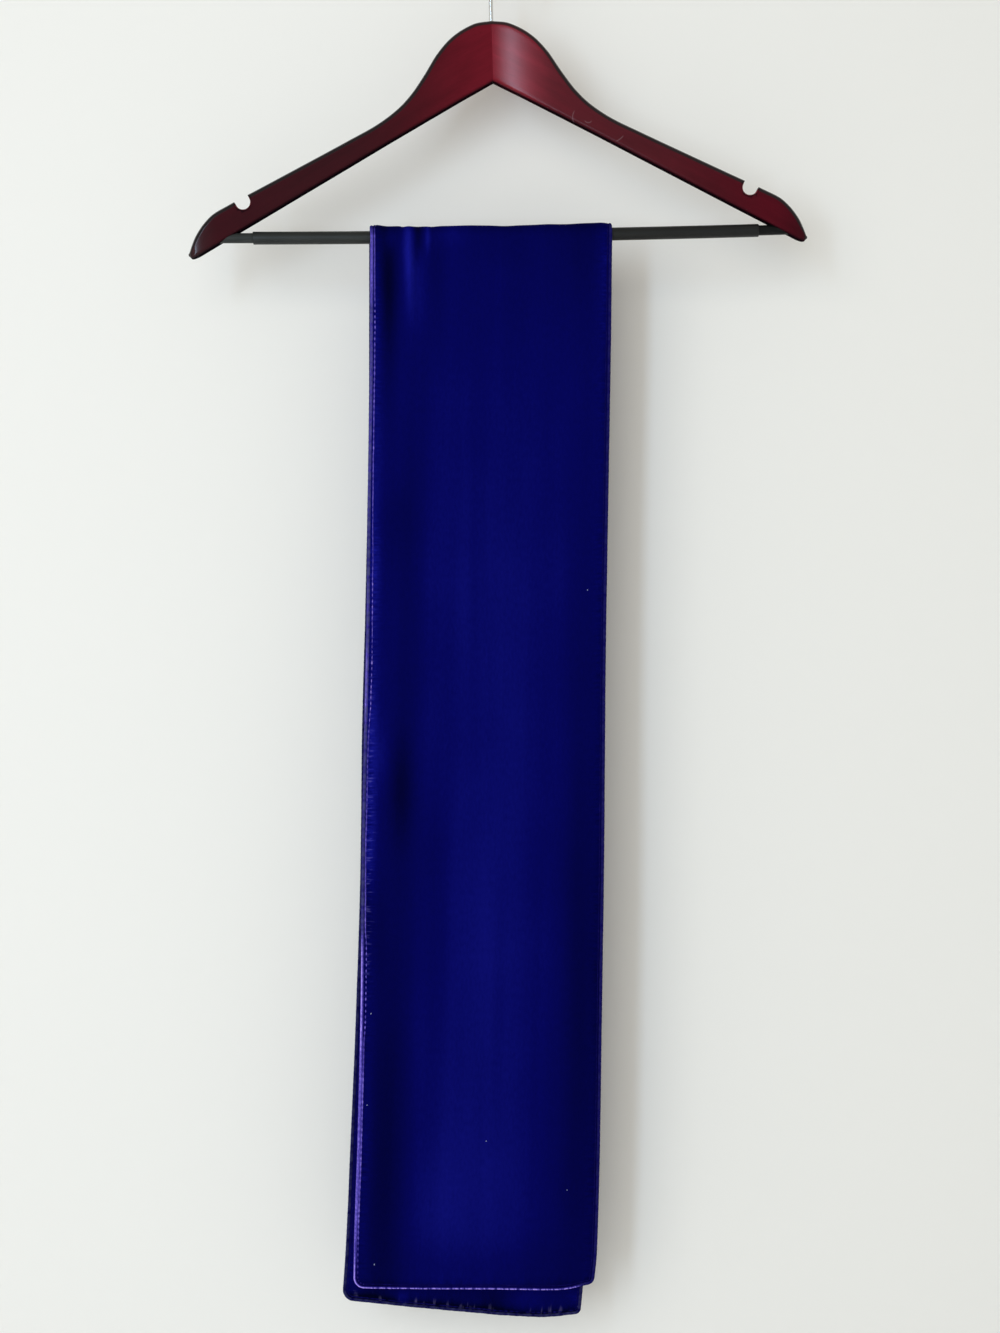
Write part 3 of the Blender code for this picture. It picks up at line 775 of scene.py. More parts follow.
def new_group(name, inputs, outputs):
    """An empty node group with named sockets, and its input and output nodes."""
    group = bpy.data.node_groups.new(name, "ShaderNodeTree")
    for key, kind in inputs:
        group.interface.new_socket(key, in_out="INPUT", socket_type=kind)
    for key, kind in outputs:
        group.interface.new_socket(key, in_out="OUTPUT", socket_type=kind)
    return group, group.nodes.new("NodeGroupInput"), group.nodes.new("NodeGroupOutput")


def place_group(tree, group, inputs):
    """A group, placed in a material with its own values."""
    return node(tree, "ShaderNodeGroup", inputs, node_tree=group)


def pile_group():
    """Short velvet pile: a fine speckle, with clumps that are drawn out along the cloth. Lightness varies
    about one, and height from nothing to one."""
    group, given, result = new_group(
        "velvet_pile",
        [("Vector", "NodeSocketVector"), ("Contrast", "NodeSocketFloat")],
        [("Lightness", "NodeSocketFloat"), ("Height", "NodeSocketFloat")],
    )
    fine = noise(group, given.outputs["Vector"], 2600, 1.0)
    clumps = drawn_noise(group, given.outputs["Vector"], (620, 210, 300), 3.0, 0.6)
    height = maths(group, "ADD", product(group, fine, 0.45), product(group, clumps, 0.55))
    about_nothing = maths(group, "SUBTRACT", height, 0.5)
    swing = product(group, about_nothing, given.outputs["Contrast"])
    group.links.new(maths(group, "ADD", swing, 1.0), result.inputs["Lightness"])
    group.links.new(height, result.inputs["Height"])
    return group


def handling_group():
    """Marks of handling: soft blotches and fine rubs that change how glossy a hard surface is."""
    group, given, result = new_group(
        "handling_marks",
        [("Vector", "NodeSocketVector"), ("Polished", "NodeSocketFloat"), ("Rubbed", "NodeSocketFloat")],
        [("Roughness", "NodeSocketFloat"), ("Rub", "NodeSocketFloat")],
    )
    blotches = spread(group, noise(group, given.outputs["Vector"], 35, 3.0), 0.35, 0.7, 0, 1)
    rubs = spread(group, drawn_noise(group, given.outputs["Vector"], (60, 900, 900)), 0.4, 0.75, 0, 1)
    both = product(group, blotches, rubs)
    range_up = maths(group, "SUBTRACT", given.outputs["Rubbed"], given.outputs["Polished"])
    rise = product(group, both, range_up)
    group.links.new(maths(group, "ADD", rise, given.outputs["Polished"]), result.inputs["Roughness"])
    group.links.new(both, result.inputs["Rub"])
    return group


def scratch_group():
    """A scratch: a thin arc of a circle, from nothing to one, that fades out at its reach from its middle."""
    group, given, result = new_group(
        "fine_scratch",
        [
            ("Vector", "NodeSocketVector"),
            ("Circle", "NodeSocketVector"),
            ("Middle", "NodeSocketVector"),
            ("Radius", "NodeSocketFloat"),
            ("Reach", "NodeSocketFloat"),
        ],
        [("Mask", "NodeSocketFloat")],
    )
    place = given.outputs["Vector"]
    from_circle = distance(group, place, given.outputs["Circle"])
    off_line = maths(group, "ABSOLUTE", maths(group, "SUBTRACT", from_circle, given.outputs["Radius"]))
    line = spread(group, off_line, 0.0, SCRATCH_WIDTH, 1.0, 0.0)
    from_middle = distance(group, place, given.outputs["Middle"])
    share = maths(group, "DIVIDE", from_middle, given.outputs["Reach"])
    fade = spread(group, share, 0.6, 1.0, 1.0, 0.0)
    group.links.new(product(group, line, fade), result.inputs["Mask"])
    return group


def velvet_material(pile):
    """Royal blue velvet. Its lightness follows the lie of the pile with its painted light and shade, soft
    streaks along the length, fine puckers square to the edges, which are painted lighter and darker as if
    lit, and the pile's speckle. Its sheen is violet, and it is lilac where rubbed, which is painted sheen on
    the puckers."""
    own = {
        "Roughness": 0.85,
        "Specular IOR Level": 0.0,
        "Sheen Weight": 0.10,
        "Sheen Roughness": 0.4,
        "Sheen Tint": (0.20, 0.17, 1.0, 1.0),
    }
    material, tree, shader = new_material("royal_velvet", (0.003, 0.003, 0.09), own)
    along = surface_map(tree)
    speckle = place_group(tree, pile, {"Vector": along, "Contrast": 0.8})
    streaks = spread(tree, drawn_noise(tree, along, (60, 2.2, 1), 3.0), 0.3, 0.7, 0.92, 1.08)
    patches = spread(tree, drawn_noise(tree, along, (16, 10, 1)), 0.3, 0.7, 0.93, 1.07)
    by_side = maths(tree, "SUBTRACT", drawn_noise(tree, along, (120, 560, 1)), 0.5)
    by_hem = maths(tree, "SUBTRACT", drawn_noise(tree, along, (230, 50, 1)), 0.5)
    side_puckers = product(tree, by_side, attribute(tree, "side_puckers"))
    hem_puckers_seen = product(tree, by_hem, attribute(tree, "hem_puckers"))
    puckers = maths(tree, "ADD", side_puckers, hem_puckers_seen)
    nap_and_shade = maths(tree, "ADD", attribute(tree, "nap_and_shade"), 1.0)
    # Painted light and shade: the puckers lighten and darken the colour
    painted_pucker_light = maths(tree, "ADD", product(tree, puckers, 2.2), 1.0)
    light = product(tree, streaks, patches, nap_and_shade, painted_pucker_light, speckle.outputs["Lightness"])
    colour = ramp(tree, product(tree, light, 0.4), VELVET_RAMP)
    # Painted sheen: lilac where the rubbed puckers catch the light
    pale = product(tree, attribute(tree, "rub_and_sheen"), spread(tree, puckers, 0.04, 0.15, 0, 1))
    colour = mixed(tree, pale, colour, rgba(RUBBED_PILE_SHEEN))
    tree.links.new(colour, shader.inputs["Base Color"])
    pucker_relief = bumped(tree, puckers, 1.0, 0.0012)
    normal = bumped(tree, speckle.outputs["Height"], 0.35, 0.0003, pucker_relief)
    tree.links.new(normal, shader.inputs["Normal"])
    return material


def edge_material(pile):
    """The same velvet where it is rolled and stitched. Where the edge is rubbed the pile parts and shows
    its lilac side, which is painted as a lilac sheen where the edge catches the light, and where it is worn
    it turns greyish."""
    own = {
        "Roughness": 0.8,
        "Specular IOR Level": 0.0,
        "Sheen Weight": 0.07,
        "Sheen Roughness": 0.35,
        "Sheen Tint": (0.36, 0.30, 1.0, 1.0),
    }
    material, tree, shader = new_material("rolled_velvet_edge", (0.03, 0.025, 0.16), own)
    along = surface_map(tree)
    speckle = place_group(tree, pile, {"Vector": along, "Contrast": 1.2})
    flecks = spread(tree, drawn_noise(tree, along, (700, 420, 1), 3.0), 0.35, 0.65, 0.78, 1.12)
    # Painted sheen: the more rubbed, the lighter and more lilac the edge
    amount = product(tree, attribute(tree, "rub_and_sheen"), flecks, speckle.outputs["Lightness"])
    worn = product(tree, attribute(tree, "frost"), 0.75)
    colour = mixed(tree, worn, ramp(tree, amount, EDGE_RAMP), rgba(WORN_EDGE))
    tree.links.new(colour, shader.inputs["Base Color"])
    tree.links.new(bumped(tree, speckle.outputs["Height"], 0.4, 0.0003), shader.inputs["Normal"])
    return material


def lint_material():
    """Pale lint, a little uneven in colour."""
    material, tree, shader = new_material("pale_lint", (0.28, 0.30, 0.55), {"Roughness": 0.9})
    colour = ramp(tree, noise(tree, object_place(tree), 1800, 1.0), LINT_RAMP)
    tree.links.new(colour, shader.inputs["Base Color"])
    return material


def lacquer_material(marks, scratch):
    """Dark red-brown stained wood under clear lacquer: soft clouds and faint grain along the arm, with dark
    pores. The colour runs nearly black on the rims, as painted shade, and is lighter by the necks, as painted
    light. The gloss is dulled here and there by handling, and a few fine scratches show pale."""
    own = {"Roughness": 0.6, "Specular IOR Level": 0.0, "Coat Roughness": 0.2, "Coat IOR": 1.45}
    material, tree, shader = new_material("red_lacquered_wood", (0.10, 0.006, 0.012), own)
    along = surface_map(tree)
    bent = drawn_noise(tree, along, (14, 30, 1))
    height = node(tree, "ShaderNodeSeparateXYZ", {0: along}).outputs["Y"]
    grain_place = node(tree, "ShaderNodeCombineXYZ", {"X": bent, "Y": height}).outputs[0]
    grain = drawn_noise(tree, grain_place, (3.0, 420, 1), 4.0, 0.55)
    clouds = drawn_noise(tree, along, (30, 110, 1), 3.0)
    pores = spread(tree, drawn_noise(tree, along, (150, 2400, 1), 1.0), 0.3, 0.45, 0.88, 1.0)
    figure = maths(tree, "ADD", product(tree, grain, 0.35), product(tree, clouds, 0.65))
    colour = mixed(tree, 1.0, ramp(tree, figure, LACQUER_RAMP), pores, "MULTIPLY")
    # Painted shade and light: the rims and tip ends go nearly black and the necks lighter
    colour = mixed(tree, attribute(tree, "stain_light_and_shade"), rgba(RIM_SHADE_COLOUR), colour)
    place = object_place(tree)
    for row in SCRATCH_ROWS:
        arc = dict(zip(SCRATCH_COLUMNS, row))
        inputs = {
            "Vector": place,
            "Circle": (arc["circle_x"] * MM, arc["depth"] * MM, arc["circle_z"] * MM),
            "Middle": (arc["middle_x"] * MM, arc["depth"] * MM, arc["middle_z"] * MM),
            "Radius": arc["radius"] * MM,
            "Reach": arc["reach"] * MM,
        }
        mask = place_group(tree, scratch, inputs).outputs["Mask"]
        colour = mixed(tree, product(tree, mask, SCRATCH_STRENGTH), colour, rgba(SCRATCH_COLOUR))
    tree.links.new(colour, shader.inputs["Base Color"])
    gloss = place_group(tree, marks, {"Vector": along, "Polished": 1.0, "Rubbed": 0.75})
    coat = product(tree, attribute(tree, "gloss"), gloss.outputs["Roughness"])
    tree.links.new(coat, shader.inputs["Coat Weight"])
    tree.links.new(bumped(tree, figure, 0.05, 0.0004), shader.inputs["Normal"])
    return material


def painted_shade_across(tree, colour, place, start, end, at_start, at_end):
    """A colour that is dimmed from one place across the piece to another, as painted shade."""
    across = node(tree, "ShaderNodeSeparateXYZ", {0: place}).outputs["X"]
    return mixed(tree, 1.0, colour, spread(tree, across, start, end, at_start, at_end), "MULTIPLY")


def sleeve_material(marks):
    """Black non-slip sleeve: satin, with fine rubs along it, and darker towards its right end, as painted
    shade.
    """
    own = {"Roughness": 0.5, "Specular IOR Level": 0.4}
    material, tree, shader = new_material("black_sleeve", (0.016, 0.018, 0.018), own)
    place = object_place(tree)
    colour = ramp(tree, drawn_noise(tree, place, (40, 300, 300), 3.0), SLEEVE_RAMP)
    # Painted shade: the sleeve darkens towards its right end
    colour = painted_shade_across(tree, colour, place, -0.10, 0.13, 0.9, 0.2)
    tree.links.new(colour, shader.inputs["Base Color"])
    gloss = place_group(tree, marks, {"Vector": place, "Polished": 0.42, "Rubbed": 0.66})
    tree.links.new(gloss.outputs["Roughness"], shader.inputs["Roughness"])
    tree.links.new(bumped(tree, noise(tree, place, 3200, 1.0), 0.12, 0.0002), shader.inputs["Normal"])
    return material


def rod_material(marks):
    """Dark painted steel, worn a little brighter where it is handled, and darker towards its right end, as
    painted shade.
    """
    own = {"Roughness": 0.4, "Specular IOR Level": 0.15}
    material, tree, shader = new_material("dark_bar_paint", (0.03, 0.033, 0.033), own)
    place = object_place(tree)
    gloss = place_group(tree, marks, {"Vector": place, "Polished": 0.4, "Rubbed": 0.6})
    tree.links.new(gloss.outputs["Roughness"], shader.inputs["Roughness"])
    colour = mixed(tree, gloss.outputs["Rub"], rgba(BAR_COLOUR), rgba(WORN_BAR_COLOUR))
    # Painted shade: the rod darkens towards its right end
    colour = painted_shade_across(tree, colour, place, -0.15, 0.15, 1.0, 0.15)
    tree.links.new(colour, shader.inputs["Base Color"])
    return material


def chrome_material(marks):
    """Bright plated wire with faint drawing lines and handling marks."""
    own = {"Roughness": 0.14, "Metallic": 1.0}
    material, tree, shader = new_material("bright_hook_wire", (0.86, 0.87, 0.88), own)
    gloss = place_group(tree, marks, {"Vector": object_place(tree), "Polished": 0.10, "Rubbed": 0.30})
    tree.links.new(gloss.outputs["Roughness"], shader.inputs["Roughness"])
    colour = mixed(tree, gloss.outputs["Rub"], rgba(WIRE_COLOUR), rgba(RUBBED_WIRE_COLOUR))
    tree.links.new(colour, shader.inputs["Base Color"])
    return material


def edge_at(rows, name, drop):
    """Where a fall's left or right edge is, at a drop."""
    return table_curve(rows, EDGE_COLUMNS, name, drop)


def hem_drop(rows, from_left):
    """How far below the bend a hem is, at a distance from the left edge."""
    knots, drops = column(rows, HEM_COLUMNS, "across"), column(rows, HEM_COLUMNS, "drop")
    return smooth_through(from_left / WIDTH, knots, drops) * MM


def front_end(from_left):
    """The run at the front hem. The run is the distance along the cloth from the top of the bar, below
    nothing on the front fall."""
    return -(HALF_BEND + hem_drop(FRONT_HEM, from_left))


def back_end(from_left):
    """The run at the back hem."""
    return HALF_BEND + hem_drop(BACK_HEM, from_left)


def scarf_place(from_left, run, lift):
    """Where a point of the cloth is in the room. Across, the point keeps its share of the way from the left
    edge to the right one. Along, it hangs straight down beyond the bend, and on the bend it goes round the
    bar's axis at its lift, so depth is minus the cosine and height the sine of the turn. Folds, creases and
    puckers add to the lift, and each fall sways by its table."""
    drop = np.maximum(np.abs(run) - HALF_BEND, 0)
    back = (np.clip(run / HALF_BEND, -1, 1) + 1) / 2
    left = (1 - back) * edge_at(FRONT_EDGES, "left", drop) + back * edge_at(BACK_EDGES, "left", drop)
    right = (1 - back) * edge_at(FRONT_EDGES, "right", drop) + back * edge_at(BACK_EDGES, "right", drop)
    x = left + from_left / WIDTH * (right - left)
    signed_drop = -np.sign(run) * drop
    raised = soft_bumps(FOLD_ROWS + CREASE_ROWS, from_left, signed_drop) * MM
    raised += np.where(run < 0, hem_puckers(FRONT_PUCKERS, from_left, run - front_end(from_left)), 0)
    raised += np.where(run > 0, hem_puckers(BACK_PUCKERS, from_left, back_end(from_left) - run), 0)
    sway_front = table_curve(SWAY_ROWS, SWAY_COLUMNS, "front", drop)
    sway_back = table_curve(SWAY_ROWS, SWAY_COLUMNS, "back", drop)
    sway = np.where(run < 0, -sway_front, sway_back)
    radius = lift + raised
    turn = math.pi * back
    y = np.interp(x, BAR_LINE[0], BAR_LINE[1]) - radius * np.cos(turn) + sway
    z = np.interp(x, BAR_LINE[0], BAR_LINE[2]) + radius * np.sin(turn) - drop
    return np.stack(np.broadcast_arrays(x, y, z), axis=-1)


def corner_radius(from_left):
    """How far the scarf's corners are rounded: more on the left than on the right."""
    return np.where(from_left < WIDTH / 2, LEFT_CORNER, RIGHT_CORNER)


def edge_distance(from_left, to_hem):
    """Distance in from the outline, which is a rectangle with corners rounded by quarter circles."""
    radius = corner_radius(from_left)
    to_side = np.minimum(from_left, WIDTH - from_left)
    corner = radius - np.hypot(radius - to_side, radius - to_hem)
    in_corner = (to_side < radius) & (to_hem < radius)
    return np.where(in_corner, corner, np.minimum(to_side, to_hem))


def face_columns(fold_step, plain_step):
    """Distances from the left edge: close together by both edges and fairly close over the folds."""
    near = np.array(NEAR_EDGE) * MM
    folds = np.arange(near[-1] + fold_step, FOLDS_END, fold_step)
    steps = int(round((WIDTH - near[-1] - folds[-1]) / plain_step))
    rest = np.linspace(folds[-1], WIDTH - near[-1], steps + 1)
    return np.concatenate([near, folds, rest[1:-1], WIDTH - near[::-1]])


def fall_shares(steps):
    """Shares of the way from the bar to a hem, close together by the hem."""
    near = 1 - np.array(NEAR_EDGE) * MM / FALL_LENGTH
    return np.concatenate([np.linspace(0, near[-1], steps)[1:-1], near[::-1]])


def bell(away, half_width):
    """A bell curve: one at nothing and about a third at the half width."""
    return np.exp(-((away / half_width) ** 2))


def band(name, away):
    """A named band of the pile: its strength times a bell curve about its middle."""
    strength, middle, half_width = PILE_BANDS[name]
    return strength * bell(away - middle * MM, half_width * MM)


def pile_values(from_left, run, to_hem):
    """What the pile does at each point: how light it lies, with painted light and shade, how far fine puckers
    show by the sides and by the hems, and how far it is rubbed, which carries painted sheen. Painted shade
    makes it darker over the bar and by the edges, most by the back hem."""
    drop = np.maximum(np.abs(run) - HALF_BEND, 0)
    to_side = np.minimum(from_left, WIDTH - from_left)
    back = run > 0
    nap_and_shade = soft_bumps(NAP_AND_SHADE_ROWS, from_left, -np.sign(run) * drop)
    nap_and_shade -= band("bend", run)
    nap_and_shade -= np.where(back, band("back_hem", to_hem), band("front_hem", to_hem))
    nap_and_shade -= np.where(back, band("back_side", to_side), band("front_side", to_side))
    # Painted light on the flat pile beside the ridge
    beside = table_curve(EDGE_LOOK_ROWS, EDGE_LOOK_COLUMNS, "beside", drop) / MM
    nap_and_shade += beside * ~back * band("painted_light_beside_ridge", from_left)
    ruffled = band("ruffled_stretch", drop) * ~back * (from_left < WIDTH / 2)
    side = band("side_puckers", to_side) * (0.5 + 0.4 * uneven(run, 90 * MM, 31) + 0.5 * ruffled)
    hem = np.where(back, band("back_hem_puckers", to_hem), band("front_hem_puckers", to_hem))
    rub_and_sheen = band("side_rub_sheen", from_left) * ruffled + band("back_hem_rub_sheen", to_hem) * back
    return {"nap_and_shade": np.maximum(nap_and_shade, DARKEST_NAP_SHADE), "side_puckers": side, "hem_puckers": hem, "rub_and_sheen": rub_and_sheen}


def velvet_scarf(material):
    """The whole scarf as one closed body. Each row is a ring: the outer face from left to right and the
    inner face back, set apart by the section's thickness. Rows run from the front hem over the bar to the
    back hem, and near a hem they are drawn in to the rounded corners. The very edge is inside the roll."""
    outer = face_columns(*OUTER_STEPS)
    inner = face_columns(*INNER_STEPS)[::-1]
    ring = np.concatenate([outer, inner])[None, :]
    facing = np.concatenate([np.ones(len(outer)), -np.ones(len(inner))])[None, :]
    shares = fall_shares(FALL_ROWS)
    share = np.concatenate([-shares[::-1], np.zeros(BEND_ROWS), shares])[:, None]
    whole = np.ones(len(shares))
    bend = np.concatenate([-whole, np.linspace(-1, 1, BEND_ROWS), whole])[:, None]
    longest = np.where(share < 0, hem_drop(FRONT_HEM, ring), hem_drop(BACK_HEM, ring))
    to_hem = (1 - np.abs(share)) * longest
    radius = corner_radius(ring)
    reach = np.clip(radius - to_hem, 0, radius - BODY_INSET)
    inset = radius - np.sqrt((radius - BODY_INSET) ** 2 - reach**2)
    half = WIDTH / 2
    from_left = half + (ring - half) * (half - inset) / (half - BODY_INSET)
    run = bend * HALF_BEND + share * longest
    from_edge = edge_distance(from_left, to_hem)
    half_thick = table_curve(SECTION_ROWS, SECTION_COLUMNS, "half", from_edge)
    points = scarf_place(from_left, run, MIDDLE_LIFT + facing * half_thick)
    uv = np.stack([from_left, run + np.where(facing < 0, INNER_MAP_SHIFT, 0.0)], axis=-1)
    uv = np.concatenate([uv, uv[:, :1]], axis=1)
    values = pile_values(from_left, run, to_hem)
    return skin("velvet_scarf", points, material, uv, wrap_columns=True, values=values)


def outline_path(step):
    """Points all round the scarf's outline, evenly spaced: distance from the left edge, run, the direction in
    from the outline as a pair, and distance along. Its corners are quarter circles."""
    turn = np.linspace(0, math.pi / 2, OUTLINE_POINTS["corner"])[1:-1]
    out, down = LEFT_CORNER * (1 - np.sin(turn)), LEFT_CORNER * (1 - np.cos(turn))
    far_out = WIDTH - RIGHT_CORNER * (1 - np.sin(turn))
    far_down = RIGHT_CORNER * (1 - np.cos(turn))
    side = np.linspace(0, 1, OUTLINE_POINTS["side"])
    hem = np.linspace(LEFT_CORNER, WIDTH - RIGHT_CORNER, OUTLINE_POINTS["hem"])
    left_length = back_end(0.0) - front_end(0.0) - 2 * LEFT_CORNER
    right_length = back_end(WIDTH) - front_end(WIDTH) - 2 * RIGHT_CORNER
    from_left = np.concatenate([
        out,
        np.zeros(len(side)),
        out[::-1],
        hem,
        far_out,
        np.full(len(side), WIDTH),
        far_out[::-1],
        hem[::-1],
    ])
    run = np.concatenate([
        front_end(out) + down,
        front_end(0.0) + LEFT_CORNER + side * left_length,
        back_end(out[::-1]) - down[::-1],
        back_end(hem),
        back_end(far_out) - far_down,
        back_end(WIDTH) - RIGHT_CORNER - side * right_length,
        front_end(far_out[::-1]) + far_down[::-1],
        front_end(hem[::-1]),
    ])
    from_left, run = np.append(from_left, from_left[0]), np.append(run, run[0])
    length = np.append(0, np.cumsum(np.hypot(np.diff(from_left), np.diff(run))))
    even = np.linspace(0, length[-1], int(length[-1] / step) + 1)[:-1]
    from_left, run = np.interp(even, length, from_left), np.interp(even, length, run)
    ahead = np.stack([np.roll(from_left, -1) - np.roll(from_left, 1), np.roll(run, -1) - np.roll(run, 1)])
    ahead /= np.hypot(ahead[0], ahead[1])
    return from_left, run, (ahead[1], -ahead[0]), even


def faded(name, away):
    """One close by, down a straight slope to nothing at a named reach."""
    reach, length = EDGE_FADES[name]
    return np.clip((reach - away) / length, 0, 1)


def edge_look(name, from_left, run, by_hem, by_right, on_back):
    """A value of the edge: on the front fall the table's on the left, one along the hem and one on the right,
    and on the back fall one all round. Each runs softly into the next."""
    on_front = 1 / (1 + np.exp((run + TOP_FADE_START) / TOP_FADE_LENGTH))
    left_side = faded("left", from_left)
    hem_side = faded("hem", run - front_end(from_left)) * faded("hem_end", from_left) * (1 - left_side)
    drop = np.maximum(-run - HALF_BEND, 0)
    on_left = table_curve(EDGE_LOOK_ROWS, EDGE_LOOK_COLUMNS, name, drop) / MM
    front = left_side * on_left + hem_side * by_hem + (1 - left_side - hem_side) * by_right
    return on_front * front + (1 - on_front) * on_back


def edge_cord(name, inset, half_width, half_depth, rub_and_sheen, frost, step, sides, material):
    """A soft cord that runs all round the scarf, inset from its outline. Its section is an ellipse that lies
    in the cloth's plane, and all its sizes are functions of the place: distance from the left edge, run and
    distance along. The rubbed sheen, painted sheen where rubbed pile catches the light, is a function of the
    place and of the turn round the cord, whose middle faces in, and frost of the place alone."""
    from_left, run, inwards, along = outline_path(step)
    place = (from_left, run, along)
    inset = inset(*place)
    from_left, run = from_left + inset * inwards[0], run + inset * inwards[1]
    centre = scarf_place(from_left, run, MIDDLE_LIFT)
    through = scarf_place(from_left, run, MIDDLE_LIFT + 0.5 * MM) - centre
    ahead = np.roll(centre, -1, axis=0) - np.roll(centre, 1, axis=0)
    ahead /= np.linalg.norm(ahead, axis=1)[:, None]
    through -= ahead * np.einsum("ij,ij->i", through, ahead)[:, None]
    through /= np.linalg.norm(through, axis=1)[:, None]
    across = np.cross(ahead, through)
    angle = np.arange(sides) * 2 * math.pi / sides
    wide, deep = half_width(*place)[:, None, None], half_depth(*place)[:, None, None]
    points = centre[:, None, :] + across[:, None, :] * wide * np.cos(angle)[None, :, None]
    points = points + through[:, None, :] * deep * np.sin(angle)[None, :, None]
    around = np.arange(sides + 1) / sides * 2 * math.pi * CORD_MAP_RADIUS
    all_along = np.append(along, 2 * along[-1] - along[-2])
    uv = np.stack(np.broadcast_arrays(around[None, :], all_along[:, None]), axis=-1)
    from_middle = np.degrees(np.minimum(angle, 2 * math.pi - angle))
    values = {
        "rub_and_sheen": rub_and_sheen(*(value[:, None] for value in place), from_middle[None, :]),
        "frost": frost(*place)[:, None],
    }
    return skin(name, points, material, uv, wrap_rows=True, wrap_columns=True, values=values)


def stitch_wave(along, seed):
    """Stitches as a rounded wave from nothing to one, a stitch long each, whose pitch drifts a little."""
    drift = 0.9 * MM * uneven(along, 46 * MM, seed)
    return 0.5 + 0.5 * np.cos(2 * math.pi * (along + drift) / STITCH_LENGTH)


def edge_roll(material):
    """The rolled edge, a little pinched at every stitch and uneven in girth. The line that stands proudest on
    either face, a bit outside the middle, is rubbed the most, in dashes along the hem. Its rubbed pile is
    painted as a lilac sheen, brightest on the front fall's left edge and hem, which face the light."""

    def inset(from_left, run, along):
        return np.full(len(along), ROLL_INSET)

    def half_width(from_left, run, along):
        return ROLL_HALF_WIDTH * (0.93 + 0.05 * stitch_wave(along, 3) + 0.05 * uneven(along, 60 * MM, 4))

    def half_depth(from_left, run, along):
        return ROLL_HALF_DEPTH * (0.90 + 0.07 * stitch_wave(along, 3) + 0.06 * uneven(along, 35 * MM, 5))

    # Painted sheen: the roll's rubbed pile, lightest along its proudest line
    def rub_and_sheen(from_left, run, along, from_middle):
        dashes = np.clip(0.82 + 1.0 * uneven(along, 3.3 * MM, 21), 0.32, 1)
        ground = edge_look("roll", from_left, run, 0.10, 0.13, 0.07)
        line = edge_look("roll_sheen_line", from_left, run, 1.2 * dashes, 0.15, 0.10)
        line = line * (1 + 0.1 * uneven(along, 24 * MM, 6))
        return ground + (line - ground) * bell(from_middle - 116, 24)

    def frost(from_left, run, along):
        patchy = 0.7 + 0.9 * uneven(along, 7 * MM, 17)
        return edge_look("frost", from_left, run, 0.0, 0.1, 0.30) * np.clip(patchy, 0, 1.2)

    shape = (inset, half_width, half_depth, rub_and_sheen, frost)
    return edge_cord("edge_roll", *shape, ROLL_STEP, ROLL_SIDES, material)


def stitch_ridge(material):
    """The ridge inside the roll that shows as a row of dots: it swells between stitches and sinks into the
    cloth at each one, more in some stretches than in others."""

    def beading(from_left, run, along):
        elsewhere = np.clip(0.55 + 0.7 * uneven(along, 210 * MM, 8), 0.1, 1.0)
        return edge_look("beading", from_left, run, 0.3, 0.5 * elsewhere, elsewhere)

    def inset(from_left, run, along):
        own = edge_look("ridge_inset", from_left, run, *[RIDGE_INSET_ELSEWHERE] * 3)
        return (own + 0.12 * uneven(along, 17 * MM, 12)) * MM

    def half_width(from_left, run, along):
        return RIDGE_HALF_WIDTH * (0.8 + 0.35 * stitch_wave(along, 9) * beading(from_left, run, along))

    def half_depth(from_left, run, along):
        sunk = (1 - stitch_wave(along, 9)) * beading(from_left, run, along)
        return RIDGE_HALF_DEPTH * (1.18 + 0.10 * uneven(along, 30 * MM, 10) - 0.34 * sunk)

    # Painted sheen: the proud beads are lighter and the sunk stitches darker
    def rub_and_sheen(from_left, run, along, from_middle):
        sunk = (1 - stitch_wave(along, 9)) * beading(from_left, run, along)
        proud = edge_look("ridge", from_left, run, 0.12, 0.12, 0.13)
        return proud * (1 - 0.6 * sunk) * (1 + 0.2 * uneven(along, 19 * MM, 11)) * np.ones_like(from_middle)

    def frost(from_left, run, along):
        return 0.15 * edge_look("frost", from_left, run, 0.0, 0.1, 0.1)

    shape = (inset, half_width, half_depth, rub_and_sheen, frost)
    return edge_cord("stitch_ridge", *shape, RIDGE_STEP, RIDGE_SIDES, material)


def lint(material):
    """Specks of lint: thin bent spindles that lie on the pile. Each is a ring of points carried along a short
    arc, whose radius swells and fades as a sine."""
    share = np.linspace(0, 1, 13)[1:-1]
    angle = np.arange(6) * math.pi / 3
    pieces = []
    for row in LINT_ROWS:
        speck = dict(zip(LINT_COLUMNS, row))
        turn, length = math.radians(speck["turn"]), speck["length"] * MM
        along = (share - 0.5) * length
        bow = LINT_BOW * length * np.sin(math.pi * share)
        from_left = speck["from_left"] * MM + along * math.cos(turn) - bow * math.sin(turn)
        run = -(HALF_BEND + speck["drop"] * MM) + along * math.sin(turn) + bow * math.cos(turn)
        radius = (LINT_TIP_RADIUS + LINT_SWELL * np.sin(math.pi * share))[:, None] * MM
        lift = MIDDLE_LIFT + THICKNESS / 2 + LINT_CLEAR + radius * np.sin(angle)
        sideways = radius * np.cos(angle)
        across = from_left[:, None] - sideways * math.sin(turn)
        points = scarf_place(across, run[:, None] + sideways * math.cos(turn), lift)
        pieces.append(skin(f"lint_{len(pieces) + 1}", points, material, wrap_columns=True))
    return pieces


